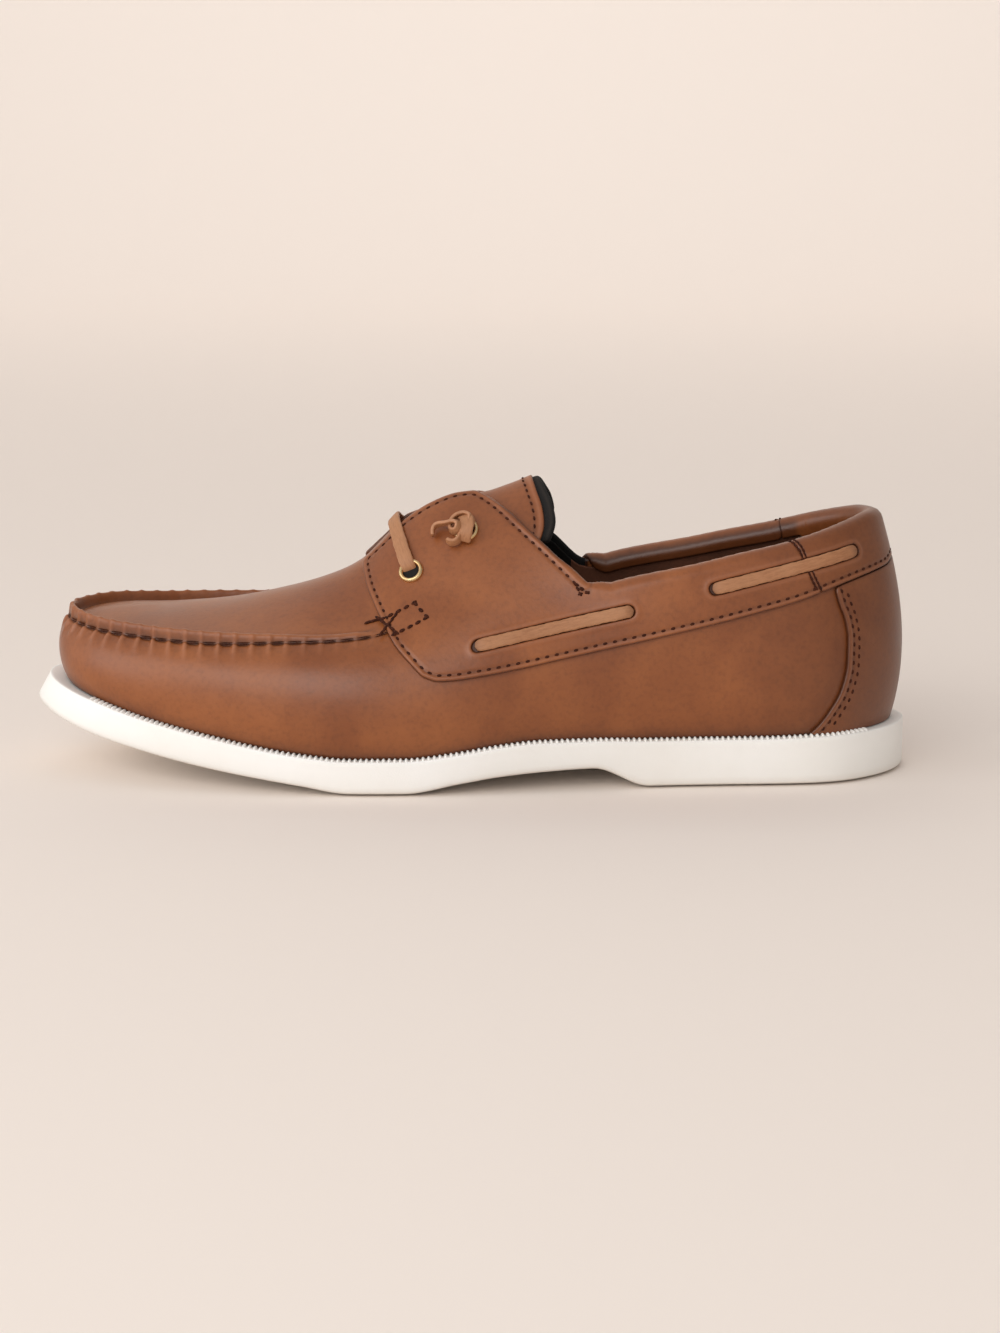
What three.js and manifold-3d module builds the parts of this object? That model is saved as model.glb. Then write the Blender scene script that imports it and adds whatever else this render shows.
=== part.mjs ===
// Boat shoe, left, standing empty on its sole. Millimetres, +Z up, toe at -X, outer side at -Y.
// The origin is under the middle of the shoe, on the plane that the heel and the ball stand on.
import * as THREE from 'three';
import { mergeVertices } from 'three/addons/utils/BufferGeometryUtils.js';
import Module from 'manifold-3d';

const wasm = await Module();
wasm.setup();

// Driving dimensions.
const WALL = 2.2;            // upper leather with its lining
const GAP = 0.3;             // clearance between neighbouring pieces
const OVERLAY = 1.3;         // saddle, heel band and counter leather
const INSOLE = 3;            // sock and its foam
const TREAD_EDGE = 1.8;      // rise of the rounded lower edge of the sole
const TREAD_ROUND = 8;       // width of that rounding
const TOE_LEAN = 4;          // how far the sole's tip runs out from its top edge to its bottom edge
const LEAN_FROM = -60;       // the lean begins ahead of this x
const RIDGE = 3.8;           // height of the moccasin ridge over its stitches
const LACE_WIDTH = 4.3;
const LACE_THICK = 1.4;
const EYELET_OUTER = 4.2;    // radii of the brass rings
const EYELET_INNER = 2.5;
const EYELET_RISE = 1.1;
const THROAT_HALF = 8.5;     // half the gap between the two facings
const TONGUE_THICK = 3.2;
const TONGUE_HALF = 24;      // half its width in plan
const CORD = 2.4;            // the rolled ends of the lace

// A row per section, from the toe tip to the back of the heel. The section runs from the sole's
// top edge, at outer x, y or inner x, y, to the spine at x = pivot. welt: sole margin outside the
// leather. kick: how far the wall first leans out. seamOuter, seamInner: inset of the shoulder
// from the sole edge. highOuter, highInner: its height. lean: the wall's slope there, in degrees
// from upright. deck: the slope on which the top leaves it.
const SECTION_COLUMNS = ['pivot', 'outerX', 'outerY', 'innerX', 'innerY', 'welt', 'kick',
  'seamOuter', 'seamInner', 'highOuter', 'highInner', 'lean', 'deck'];
const SECTIONS = [
  [-104, -145, 4, -145, 4, 6.6, 4.6, 7.2, 7.2, 52, 52, 46, 78],
  [-104, -142.2, -9, -143, 16.5, 5.6, 4.6, 8.4, 9.4, 51, 52.4, 50, 78],
  [-104, -133.2, -21.6, -135, 29, 4.4, 4.4, 9.3, 11, 50, 52.4, 55, 77],
  [-104, -119.6, -31, -120.5, 38.6, 3.5, 4.2, 9.6, 12, 49.3, 51.8, 60, 76],
  [-104, -104, -38, -104, 45, 3.2, 4.1, 10.2, 12.2, 48.7, 51, 63, 76],
  [-84, -84, -44.4, -84, 49.6, 3.2, 4.1, 11, 12.8, 48.2, 50.8, 64, 74],
  [-62, -62, -48.8, -62, 51, 3.2, 4.1, 12.7, 13.2, 49, 51.8, 63, 69],
  [-39, -39, -50.9, -39, 48.4, 3.2, 4.2, 13.8, 12, 50.3, 52.6, 58, 61],
  [-16, -16, -50.5, -16, 42.4, 3.2, 4.3, 15.6, 9.6, 55.5, 56.5, 46, 47],
  [6, 6, -47.8, 6, 36.4, 3.2, 4.6, 15.2, 6.2, 64, 64, 33, 33],
  [30, 30, -43.5, 30, 32.4, 3.2, 4.8, 11.8, 2.6, 68, 68, 22, 22],
  [54, 54, -39.8, 54, 32, 3.2, 5, 6.6, 0.2, 69, 69, 12, 12],
  [80, 80, -37.3, 80, 33, 3.2, 5, 6, 3.2, 74.5, 74.5, 11, 11],
  [110, 110, -35.4, 110, 34.2, 3.4, 5.2, 9.6, 8.6, 81.5, 81.5, 15, 15],
  [110, 128.5, -30, 128.5, 29.6, 4.2, 5.8, 11.4, 11, 85.3, 85.3, 17, 17],
  [110, 141.6, -18.6, 141.6, 18.6, 5.2, 6.6, 11.4, 11.2, 87.4, 87.4, 17, 17],
  [110, 147.4, -8, 147.4, 8, 5.8, 7.2, 11.2, 11.2, 88.3, 88.3, 17, 17],
  [110, 149, 0, 149, 0, 6, 7.4, 11.2, 11.2, 88.5, 88.5, 17, 17],
].map((row) => Object.fromEntries(row.map((value, i) => [SECTION_COLUMNS[i], value])));

// The spine: the top of the last, over its middle line.
const SPINE = [
  { x: -104, y: 3.5, z: 54.8 }, { x: -84, y: 2.4, z: 56.8 }, { x: -62, y: 1, z: 61.5 },
  { x: -45, y: 0, z: 67.1 }, { x: -37, y: 0, z: 71.4 }, { x: -29, y: 0, z: 79.2 },
  { x: -21, y: 0, z: 87.4 }, { x: -12, y: 0, z: 93.2 }, { x: -4, y: 0, z: 95.9 },
  { x: 5, y: 0, z: 96.8 }, { x: 13, y: 0, z: 99.3 }, { x: 21, y: 0, z: 102.9 },
  { x: 32, y: 0, z: 106 }, { x: 54, y: 0, z: 108 }, { x: 110, y: 0, z: 112 },
];

// Side view of the sole: top edge and tread. The ball and the heel are flat on z = 0.
const SOLE = [
  { x: -149, top: 33.6, tread: 23 }, { x: -140, top: 31, tread: 19.4 },
  { x: -125, top: 26.9, tread: 14.8 }, { x: -110, top: 23, tread: 11.5 },
  { x: -96, top: 20, tread: 8.7 }, { x: -82, top: 17.4, tread: 6.3 },
  { x: -69, top: 15, tread: 4.3 }, { x: -56, top: 13.1, tread: 2.4 },
  { x: -39.5, top: 11.7, tread: 0 }, { x: -21.5, top: 11.8, tread: 0 },
  { x: -3, top: 13.7, tread: 3 }, { x: 10, top: 15.6, tread: 4.9 },
  { x: 24, top: 16.7, tread: 6 }, { x: 41, top: 16.7, tread: 6.6 },
  { x: 60, top: 16.2, tread: 0 }, { x: 97, top: 16.2, tread: 0 },
  { x: 125, top: 16.9, tread: 0 }, { x: 149, top: 17.2, tread: 0 },
];

// Side view of a saddle: front edge and wing, back of the facing, collar, band to the heel.
const SADDLE = [
  { x: -13.4, z: 38 }, { x: -15, z: 38.6 }, { x: -20, z: 43.6 }, { x: -24, z: 47.8 },
  { x: -29.6, z: 56.2 }, { x: -34, z: 64.4 }, { x: -35.3, z: 68.5 }, { x: -35.8, z: 71.6 },
  { x: -34.6, z: 74.4 }, { x: -31, z: 84 }, { x: -28, z: 110 }, { x: -6, z: 110 },
  { x: 1, z: 97.2 }, { x: 4.6, z: 95.6 }, { x: 8.9, z: 93 }, { x: 16.4, z: 87 },
  { x: 28, z: 77.2 }, { x: 41, z: 65.2 }, { x: 43, z: 65.6 }, { x: 54, z: 67.6 },
  { x: 76, z: 72 }, { x: 111.6, z: 79.6 }, { x: 111.6, z: 63.2 }, { x: 96, z: 58.8 },
  { x: 69.5, z: 52.5 }, { x: 43, z: 46.9 }, { x: 16.7, z: 41.6 }, { x: 3.5, z: 39.4 },
  { x: -6.3, z: 38.2 },
];
const HEEL_BAND = [
  { x: 111.9, z: 63.4 }, { x: 124, z: 67.4 }, { x: 131, z: 69.2 }, { x: 141, z: 71.4 },
  { x: 160, z: 73 }, { x: 160, z: 87 }, { x: 131, z: 85 }, { x: 120, z: 81.9 },
  { x: 111.9, z: 79.7 },
];
const COUNTER = [
  { x: 121.4, z: 66.2 }, { x: 123, z: 60.8 }, { x: 125.1, z: 55.4 }, { x: 126.2, z: 48.8 },
  { x: 126, z: 40.5 }, { x: 124.1, z: 32.1 }, { x: 120.1, z: 24.9 }, { x: 114.6, z: 18 },
  { x: 160, z: 18 }, { x: 160, z: 72.6 }, { x: 141, z: 71 }, { x: 131, z: 68.8 },
];
// Everything above this line is cut from the upper: throat first, then collar to heel.
const OPENING = [
  { x: -8, z: 130 }, { x: 0, z: 97 }, { x: 8, z: 92.6 }, { x: 16, z: 86.4 }, { x: 28, z: 76.4 },
  { x: 40, z: 65.6 }, { x: 44, z: 66.8 }, { x: 54, z: 69.2 }, { x: 76, z: 73.4 },
  { x: 90, z: 76.6 }, { x: 106, z: 80 }, { x: 120, z: 83.8 }, { x: 131, z: 86.8 },
  { x: 136, z: 88 }, { x: 170, z: 89 }, { x: 170, z: 130 },
];
// Side view of the tongue: its free end stands up behind the facings.
const TONGUE = [
  { x: -44, z: 130 }, { x: -44, z: 40 }, { x: 8, z: 60 }, { x: 22, z: 73 }, { x: 26.4, z: 80 },
  { x: 28, z: 86 }, { x: 27, z: 91 }, { x: 24.6, z: 96 }, { x: 22.6, z: 99.4 },
  { x: 20, z: 102 }, { x: 12, z: 130 },
];
// Eyelet centres in side view.
const FRONT_EYELET = { x: -19.9, z: 71.8 };
const REAR_EYELET = { x: -1.3, z: 84.4 };
// Where the lace comes out of the band and goes back in, in side view.
const SIDE_LACES = [
  { name: 'front', x0: 3.6, z0: 49.2, x1: 52.8, z1: 59.6 },
  { name: 'rear', x0: 80.8, z0: 66.6, x1: 128.8, z1: 77.7 },
];
// Side view of the front lace: up from the front eyelet and over the wings.
const FRONT_LACE = [
  { x: -24.6, z: 77 }, { x: -20.2, z: 77 }, { x: -21.3, z: 80.5 }, { x: -22.3, z: 84.5 },
  { x: -22.5, z: 110 }, { x: -26.9, z: 110 }, { x: -26.8, z: 84.5 }, { x: -25.7, z: 80.5 },
];
// Lace end at a rear eyelet: out of the hole, round in a loop, through it and forward to its tip.
// back and up lie along the leather, out stands off it.
const KNOT = [
  { back: 0, up: -0.6, out: 3.4 }, { back: 1.8, up: 0.4, out: 5 },
  { back: 2.4, up: 3.2, out: 5 }, { back: 0.2, up: 4.8, out: 4.8 },
  { back: -2.6, up: 4.1, out: 4.4 }, { back: -4.6, up: 2.0, out: 4.4 },
  { back: -4.6, up: -0.6, out: 4.6 }, { back: -2.8, up: -1.6, out: 6.2 },
  { back: -1.6, up: 0.6, out: 7.4 }, { back: -3.6, up: 1.6, out: 7.4 },
  { back: -6.4, up: 1.0, out: 6.2 }, { back: -8.6, up: 1.6, out: 5.0 },
  { back: -10.2, up: 0.4, out: 4.2 }, { back: -10.4, up: -1.6, out: 4.0 },
];
const TAIL = [
  { back: -1.4, up: -2.6, out: 4.6 }, { back: -1.8, up: -4.4, out: 4.4 },
  { back: -3.6, up: -5.4, out: 4.2 }, { back: -5.8, up: -4.8, out: 4.2 },
];

// ---- Interpolation -----------------------------------------------------------------------------

// A smooth closed curve through evenly spaced values.
function loopSpline(values) {
  const n = values.length;
  const bend = new Array(n).fill(0);
  for (let pass = 0; pass < 60; pass++) {
    for (let i = 0; i < n; i++) {
      const before = (i + n - 1) % n;
      const after = (i + 1) % n;
      const kink = values[after] - 2 * values[i] + values[before];
      bend[i] = (6 * kink - bend[before] - bend[after]) / 4;
    }
  }
  return (u) => {
    const i = ((Math.floor(u) % n) + n) % n;
    const next = (i + 1) % n;
    const f = u - Math.floor(u);
    const g = 1 - f;
    return g * values[i] + f * values[next]
      + ((g ** 3 - g) * bend[i] + (f ** 3 - f) * bend[next]) / 6;
  };
}

// A curve over x that never overshoots its rows, so level stretches stay level.
function rowCurve(rows, column) {
  const n = rows.length;
  const rise = (i) => (rows[i + 1][column] - rows[i][column]) / (rows[i + 1].x - rows[i].x);
  const slope = rows.map((row, i) => {
    if (i === 0) return rise(0);
    if (i === n - 1) return rise(n - 2);
    const [a, b] = [rise(i - 1), rise(i)];
    return a * b <= 0 ? 0 : 2 * a * b / (a + b);
  });
  return (x) => {
    let i = 0;
    while (i < n - 2 && x > rows[i + 1].x) i++;
    const width = rows[i + 1].x - rows[i].x;
    const f = Math.min(1, Math.max(0, (x - rows[i].x) / width));
    const g = 1 - f;
    return rows[i][column] * g * g * (1 + 2 * f) + rows[i + 1][column] * f * f * (1 + 2 * g)
      + width * f * g * (slope[i] * g - slope[i + 1] * f);
  };
}

const LAST_ROW = SECTIONS.length - 1;
const LOOP = 2 * LAST_ROW;   // the loop runs down the outer side and back along the inner side
const loopRow = (i) => SECTIONS[i <= LAST_ROW ? i : LOOP - i];
const loopCurve = (outer, inner = outer) => loopSpline(
  Array.from({ length: LOOP }, (_, i) => loopRow(i)[i <= LAST_ROW ? outer : inner]));
const edgeX = loopCurve('outerX', 'innerX');
const edgeY = loopCurve('outerY', 'innerY');
const seamInset = loopCurve('seamOuter', 'seamInner');
const high = loopCurve('highOuter', 'highInner');
const [pivot, welt, kick, lean, deck] =
  ['pivot', 'welt', 'kick', 'lean', 'deck'].map((column) => loopCurve(column));
const spineY = rowCurve(SPINE, 'y');
const spineZ = rowCurve(SPINE, 'z');
const soleTop = rowCurve(SOLE, 'top');
const soleTread = rowCurve(SOLE, 'tread');
const TOE_PIVOT = SECTIONS[0].pivot;
const HEEL_PIVOT = SECTIONS[LAST_ROW].pivot;

// Where a section starts on the sole's edge, its direction in plan, and the spine point it meets.
// All sections of the toe meet in one point, and so do those of the heel.
function station(u) {
  const edge = new THREE.Vector2(edgeX(u), edgeY(u));
  let x = pivot(u);
  if (x < TOE_PIVOT + 1) x = TOE_PIVOT;
  if (x > HEEL_PIVOT - 1) x = HEEL_PIVOT;
  const spine = new THREE.Vector2(x, spineY(x));
  return { edge, spine, inward: spine.clone().sub(edge).normalize(), reach: edge.distanceTo(spine) };
}

const smooth = (x) => {
  const f = Math.min(1, Math.max(0, x));
  return f * f * (3 - 2 * f);
};
const bezier = (a, b, c, d, f) => {
  const g = 1 - f;
  return a * g ** 3 + 3 * b * g * g * f + 3 * c * g * f * f + d * f ** 3;
};

// ---- The last: one function for every form of the upper -----------------------------------------

// A point of the last. ring.wall runs 0 to 1 from the sole to the shoulder, ring.ridge is a
// distance past it over the moccasin ridge, and ring.deck runs 0 to 1 from it to the spine.
function lastPoint(u, ring, ridged) {
  const { edge, spine, inward, reach } = station(u);
  const margin = welt(u);
  const foot = soleTop(edge.x + inward.x * margin) + GAP;
  const [seam, top] = [seamInset(u), high(u)];
  const wallLean = THREE.MathUtils.degToRad(lean(u));
  const deckLean = THREE.MathUtils.degToRad(deck(u));
  const climb = top - foot;
  const crown = spineZ(spine.x);
  const across = reach - seam;
  const run = 0.32 * Math.hypot(across, crown - top);
  let inset;
  let z;
  if (ring.wall !== undefined) {
    const f = ring.wall;
    inset = bezier(margin, margin - kick(u), seam - 0.32 * climb * Math.sin(wallLean), seam, f);
    z = bezier(foot, foot + 0.36 * climb, top - 0.32 * climb * Math.cos(wallLean), top, f);
  } else {
    const f = ring.deck ?? ring.ridge / (3 * run);
    inset = bezier(seam, seam + run * Math.sin(deckLean), reach - 0.35 * across, reach, f);
    z = bezier(top, top + run * Math.cos(deckLean), crown, crown, f);
    if (ring.ridge !== undefined && ridged) z += ring.lift * RIDGE * ridgeFade(edge.x);
  }
  return new THREE.Vector3(edge.x + inward.x * inset, edge.y + inward.y * inset, z);
}
const ridgeFade = (x) => 1 - smooth((x + 47) / 12);

const WALL_RINGS = [0, 0.14, 0.3, 0.45, 0.6, 0.75, 0.88, 1].map((wall) => ({ wall }));
const RIDGE_RINGS = [{ ridge: 0.8, lift: 0.9 }, { ridge: 2.2, lift: 0.86 }, { ridge: 4.2, lift: 0 }];
const DECK_RINGS = [0.3, 0.45, 0.6, 0.78, 1].map((f) => ({ deck: f }));
const RINGS = [...WALL_RINGS, ...RIDGE_RINGS, ...DECK_RINGS];

// A closed surface through rings of points, one column per u, closed on a middle line at each end.
function loft(rings) {
  const columns = rings[0].length;
  const position = [];
  rings.forEach((ring) => ring.forEach((p) => position.push(p.x, p.y, p.z)));
  const index = [];
  for (let j = 0; j + 1 < rings.length; j++) {
    for (let i = 0; i < columns; i++) {
      const [a, b] = [j * columns + i, j * columns + (i + 1) % columns];
      const [c, d] = [a + columns, b + columns];
      index.push(a, b, d, a, d, c);
    }
  }
  const geometry = new THREE.BufferGeometry();
  geometry.setAttribute('position', new THREE.Float32BufferAttribute(position, 3));
  geometry.setIndex(index);
  return geometry;
}

// The last grown by offset. drop carries its floor down below the sole's top.
function form(offset, { ridged = false, drop = 0, step = 0.5 } = {}) {
  const us = Array.from({ length: Math.round(LOOP / step) }, (_, i) => i * step);
  const grid = RINGS.map((ring) => us.map((u) => lastPoint(u, ring, ridged)));
  const n = us.length;
  const rings = grid.map((ring, j) => ring.map((p, i) => {
    if (j === grid.length - 1) return p.clone().add(new THREE.Vector3(0, 0, offset));
    const along = ring[(i + 1) % n].clone().sub(ring[(i + n - 1) % n]);
    const up = grid[j + 1][i].clone().sub(grid[Math.max(0, j - 1)][i]);
    return along.cross(up).normalize().multiplyScalar(offset).add(p);
  }));
  const floor = rings[0].map((p) => new THREE.Vector3(p.x, p.y, p.z - drop));
  const middle = us.map((u) => {
    const { spine } = station(u);
    return new THREE.Vector3(spine.x, spine.y, soleTop(spine.x) + GAP - drop);
  });
  return loft(drop > 0 ? [middle, floor, ...rings] : [middle, ...rings]);
}

// ---- Solids -----------------------------------------------------------------------------------

function solid(geometry) {
  const bare = geometry.clone();
  ['normal', 'uv'].forEach((name) => bare.deleteAttribute(name));
  const merged = mergeVertices(bare, 1e-4);
  const index = [];
  for (let i = 0; i < merged.index.count; i += 3) {
    const [a, b, c] = [0, 1, 2].map((k) => merged.index.getX(i + k));
    if (a !== b && b !== c && c !== a) index.push(a, b, c);
  }
  return new wasm.Manifold(new wasm.Mesh({
    numProp: 3,
    vertProperties: new Float32Array(merged.attributes.position.array),
    triVerts: new Uint32Array(index),
  }));
}

function toGeometry(manifold) {
  const mesh = manifold.getMesh();
  const geometry = new THREE.BufferGeometry();
  geometry.setAttribute('position', new THREE.BufferAttribute(mesh.vertProperties, 3));
  geometry.setIndex(new THREE.BufferAttribute(mesh.triVerts, 1));
  return geometry;
}

// An outline in side view, run across the shoe from y = from to y = to.
function sidePrism(rows, from, to) {
  const shape = new THREE.Shape(rows.map((row) => new THREE.Vector2(row.x, row.z)));
  const geometry = new THREE.ExtrudeGeometry(shape, { depth: to - from, bevelEnabled: false });
  geometry.rotateX(Math.PI / 2).translate(0, to, 0);
  return solid(geometry);
}

// An outline in plan, run up from z = from to z = to.
function planPrism(points, from, to) {
  const shape = new THREE.Shape(points.map(([x, y]) => new THREE.Vector2(x, y)));
  const geometry = new THREE.ExtrudeGeometry(shape, { depth: to - from, bevelEnabled: false });
  return solid(geometry.translate(0, 0, from));
}

// The slot between the facings in plan, rounded in front, widening to the back.
function throat(half, front) {
  const points = [];
  for (let k = 0; k <= 8; k++) {
    const angle = Math.PI / 2 + Math.PI * k / 8;
    points.push([front + half + half * Math.cos(angle), half * Math.sin(angle)]);
  }
  points.push([8, -half - 1.5], [40, -half - 12], [40, half + 12], [8, half + 1.5]);
  return planPrism(points, 40, 140);
}

const MATERIALS = {
  leather: { color: 0x965f41, roughness: 0.42, metalness: 0 },
  rubber: { color: 0xfaf8f2, roughness: 0.6, metalness: 0 },
  lining: { color: 0x4a3226, roughness: 0.85, metalness: 0 },
  lace: { color: 0xb47d55, roughness: 0.6, metalness: 0 },
  brass: { color: 0xc9a45c, roughness: 0.3, metalness: 1 },
};
const shoe = new THREE.Group();
function piece(name, finish, geometry) {
  const mesh = new THREE.Mesh(geometry, new THREE.MeshStandardMaterial(MATERIALS[finish]));
  mesh.name = name;
  shoe.add(mesh);
}

// The u at which the sections' pivots pass x, on the outer side.
function crossing(x) {
  let [near, far] = [4, LAST_ROW - 4];
  while (far - near > 1e-6) {
    const middle = (near + far) / 2;
    if (pivot(middle) < x) near = middle; else far = middle;
  }
  return near;
}

// Outsole: follows its side view, with a rounded tread edge, arch and heel breast. It has extra
// sections behind the ball's flat and at the breast, where the tread turns.
function outsole() {
  const lines = new Set(Array.from({ length: LAST_ROW * 2 + 1 }, (_, i) => i / 2));
  [-22, 37, 45, 50, 56].forEach((x) => lines.add(crossing(x)));
  const outer = [...lines].sort((a, b) => a - b);
  const us = [...outer, ...outer.slice(1, -1).reverse().map((u) => LOOP - u)];
  const ring = (share, inset, height) => us.map((u) => {
    const { edge, spine, inward } = station(u);
    const start = edge.clone().addScaledVector(inward, inset);
    const p = start.lerp(spine, share);
    return new THREE.Vector3(p.x, p.y, height(p.x));
  });
  const under = (share, inset, rise) => ring(share, inset, (x) => x).map((p) => {
    const out = Math.max(0, (LEAN_FROM - p.x) / (LEAN_FROM - SECTIONS[0].outerX));
    const x = p.x - TOE_LEAN * out * out;
    return new THREE.Vector3(x, p.y, soleTread(x) + rise);
  });
  const rings = [
    under(1, 0, 0), under(0.5, 0, 0), under(0, TREAD_ROUND, 0),
    under(0, 0.3 * TREAD_ROUND, 0.4 * TREAD_EDGE), under(0, 0, TREAD_EDGE),
    ring(0, 0, soleTop), ring(0.3, 0, soleTop), ring(0.65, 0, soleTop), ring(1, 0, soleTop),
  ];
  return toGeometry(solid(loft(rings)));
}

// Insole: fills the floor of the upper, a little clear of its wall.
function insole() {
  const us = Array.from({ length: LOOP * 2 }, (_, i) => i / 2);
  const ring = (share, rise) => us.map((u) => {
    const { edge, spine, inward } = station(u);
    const p = edge.clone().addScaledVector(inward, welt(u) + WALL + 0.8).lerp(spine, share);
    return new THREE.Vector3(p.x, p.y, soleTop(p.x) + rise);
  });
  return toGeometry(solid(loft([ring(1, GAP), ring(0.5, GAP), ring(0, GAP),
    ring(0, GAP + INSOLE), ring(0.5, GAP + INSOLE), ring(1, GAP + INSOLE)])));
}

// Upper: one hollow shell, open at the collar, the throat and underneath.
const opening = sidePrism(OPENING, -80, 80).add(throat(THROAT_HALF + 1, -27));
const upper = solid(form(0, { ridged: true })).subtract(solid(form(-WALL, { drop: 6 })));

// Tongue: a padded arch under the facings, a little clear of the upper.
const tongueTop = -WALL - GAP;
const tongueShell = solid(form(tongueTop))
  .subtract(solid(form(tongueTop - TONGUE_THICK, { drop: 6 })));
const tongueOutline = sidePrism(TONGUE, -TONGUE_HALF, TONGUE_HALF);

// A leather overlay on the upper, cut from the shell between two larger forms.
const overlayShell = solid(form(GAP + OVERLAY)).subtract(solid(form(GAP, { drop: 3 })));
const facingGap = throat(THROAT_HALF, -42);

piece('outsole', 'rubber', outsole());
piece('insole', 'lining', insole());
piece('upper', 'leather', toGeometry(upper.subtract(opening)));
piece('tongue', 'leather', toGeometry(tongueShell.intersect(tongueOutline)));
for (const [side, from, to] of [['outer', -90, 0], ['inner', 0, 90]]) {
  const saddle = overlayShell.intersect(sidePrism(SADDLE, from, to)).subtract(facingGap);
  piece(`saddle_${side}`, 'leather', toGeometry(saddle));
}
piece('heel_band', 'leather', toGeometry(overlayShell.intersect(sidePrism(HEEL_BAND, -60, 60))));
piece('heel_counter', 'leather', toGeometry(overlayShell.intersect(sidePrism(COUNTER, -60, 60))));

// A point of a side, found by its x and z in side view, and the directions there.
function onSide(side, x, z, offset) {
  const u = side === 'outer' ? crossing(x) : LOOP - crossing(x);
  const at = (v, r) => lastPoint(v, r < 1 ? { wall: r } : { deck: r - 1 }, false);
  let [r, over] = [0, 2];
  while (over - r > 1e-5) {
    const middle = (r + over) / 2;
    if (at(u, middle).z < z) r = middle; else over = middle;
  }
  const across = at(u, r + 0.01).sub(at(u, r - 0.01));
  const out = at(u + 0.02, r).sub(at(u - 0.02, r)).cross(across).normalize();
  const back = new THREE.Vector3(1, 0, 0).addScaledVector(out, -out.x).normalize();
  const up = new THREE.Vector3().crossVectors(out, back).multiplyScalar(side === 'outer' ? 1 : -1);
  return { point: at(u, r).addScaledVector(out, offset), out, back, up };
}

// Laces: flat strips that lie on the overlays.
const laceBottom = OVERLAY + 2 * GAP;
const laceShell = solid(form(laceBottom + LACE_THICK)).subtract(solid(form(laceBottom)));
function slot({ x0, z0, x1, z1 }) {
  const half = LACE_WIDTH / 2;
  const slope = Math.atan2(z1 - z0, x1 - x0);
  const turn = (end, from) => Array.from({ length: 7 }, (_, k) => {
    const angle = slope + from + Math.PI * k / 6;
    return { x: end.x + half * Math.cos(angle), z: end.z + half * Math.sin(angle) };
  });
  const [start, stop] = [{ x: x0 + half, z: z0 }, { x: x1 - half, z: z1 }];
  return [...turn(start, Math.PI / 2), ...turn(stop, -Math.PI / 2)];
}
for (const [side, from, to] of [['outer', -90, 0], ['inner', 0, 90]]) {
  for (const run of SIDE_LACES) {
    const strip = laceShell.intersect(sidePrism(slot(run), from, to));
    piece(`lace_${run.name}_${side}`, 'lace', toGeometry(strip));
  }
}
const frontLace = laceShell.intersect(sidePrism(FRONT_LACE, -TONGUE_HALF, TONGUE_HALF));
piece('lace_front_bar', 'lace', toGeometry(frontLace));

// Eyelets: rolled brass rings in the wings.
function eyelet() {
  const [inner, outer, rise] = [EYELET_INNER, EYELET_OUTER, EYELET_RISE];
  const round = 0.45 * rise;
  const profile = [
    [inner, 0], [outer, 0], [outer, rise - round], [outer - round, rise], [inner + round, rise],
    [inner, rise - round], [inner, 0],
  ].map(([radius, height]) => new THREE.Vector2(radius, height));
  return new THREE.LatheGeometry(profile, 16);
}
// A round cord through points given in an eyelet's own directions.
function cord(rows, { point, out, back, up }) {
  const path = new THREE.CatmullRomCurve3(rows.map((row) => point.clone()
    .addScaledVector(back, row.back).addScaledVector(up, row.up).addScaledVector(out, row.out)));
  const sides = Array.from({ length: 8 }, (_, k) => new THREE.Vector2(
    CORD / 2 * Math.cos(Math.PI * k / 4), CORD / 2 * Math.sin(Math.PI * k / 4)));
  const steps = Math.round(path.getLength() / (0.7 * CORD));
  return new THREE.ExtrudeGeometry(new THREE.Shape(sides), { steps, extrudePath: path });
}
for (const side of ['outer', 'inner']) {
  for (const [name, spot] of [['front', FRONT_EYELET], ['rear', REAR_EYELET]]) {
    const { point, out } = onSide(side, spot.x, spot.z, laceBottom + 0.1);
    const turn = new THREE.Quaternion().setFromUnitVectors(new THREE.Vector3(0, 1, 0), out);
    const ring = eyelet().applyQuaternion(turn).translate(point.x, point.y, point.z);
    piece(`eyelet_${name}_${side}`, 'brass', toGeometry(solid(ring)));
  }
  const place = onSide(side, REAR_EYELET.x, REAR_EYELET.z, 0);
  piece(`knot_${side}`, 'lace', toGeometry(solid(cord(KNOT, place))));
  piece(`lace_tail_${side}`, 'lace', toGeometry(solid(cord(TAIL, place))));
}

export default shoe;
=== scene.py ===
"""A left boat shoe in burnished leather on a white rubber sole, standing empty on a pale floor."""

import math

import bmesh
import bpy
import numpy as np
from mathutils.geometry import delaunay_2d_cdt
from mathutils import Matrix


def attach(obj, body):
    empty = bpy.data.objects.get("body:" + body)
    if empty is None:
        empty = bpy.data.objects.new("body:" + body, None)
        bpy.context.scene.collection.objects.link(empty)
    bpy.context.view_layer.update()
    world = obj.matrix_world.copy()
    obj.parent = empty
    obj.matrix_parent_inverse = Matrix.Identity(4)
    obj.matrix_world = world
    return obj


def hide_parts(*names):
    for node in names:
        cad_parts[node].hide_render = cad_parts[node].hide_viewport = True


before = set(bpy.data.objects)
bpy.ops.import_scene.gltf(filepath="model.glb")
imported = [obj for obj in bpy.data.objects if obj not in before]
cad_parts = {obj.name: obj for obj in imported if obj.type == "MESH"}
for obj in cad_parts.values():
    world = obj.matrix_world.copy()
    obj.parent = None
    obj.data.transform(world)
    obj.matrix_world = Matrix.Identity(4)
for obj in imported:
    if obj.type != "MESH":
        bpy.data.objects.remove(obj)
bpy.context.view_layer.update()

# ---- Camera and studio ---------------------------------------------------------------------------
# A low three-quarter-height view of the shoe's outer side, on a sweep of warm pale paper. Three
# large soft boxes stand in front, above and to the left, and one more lights the paper behind.

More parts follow.
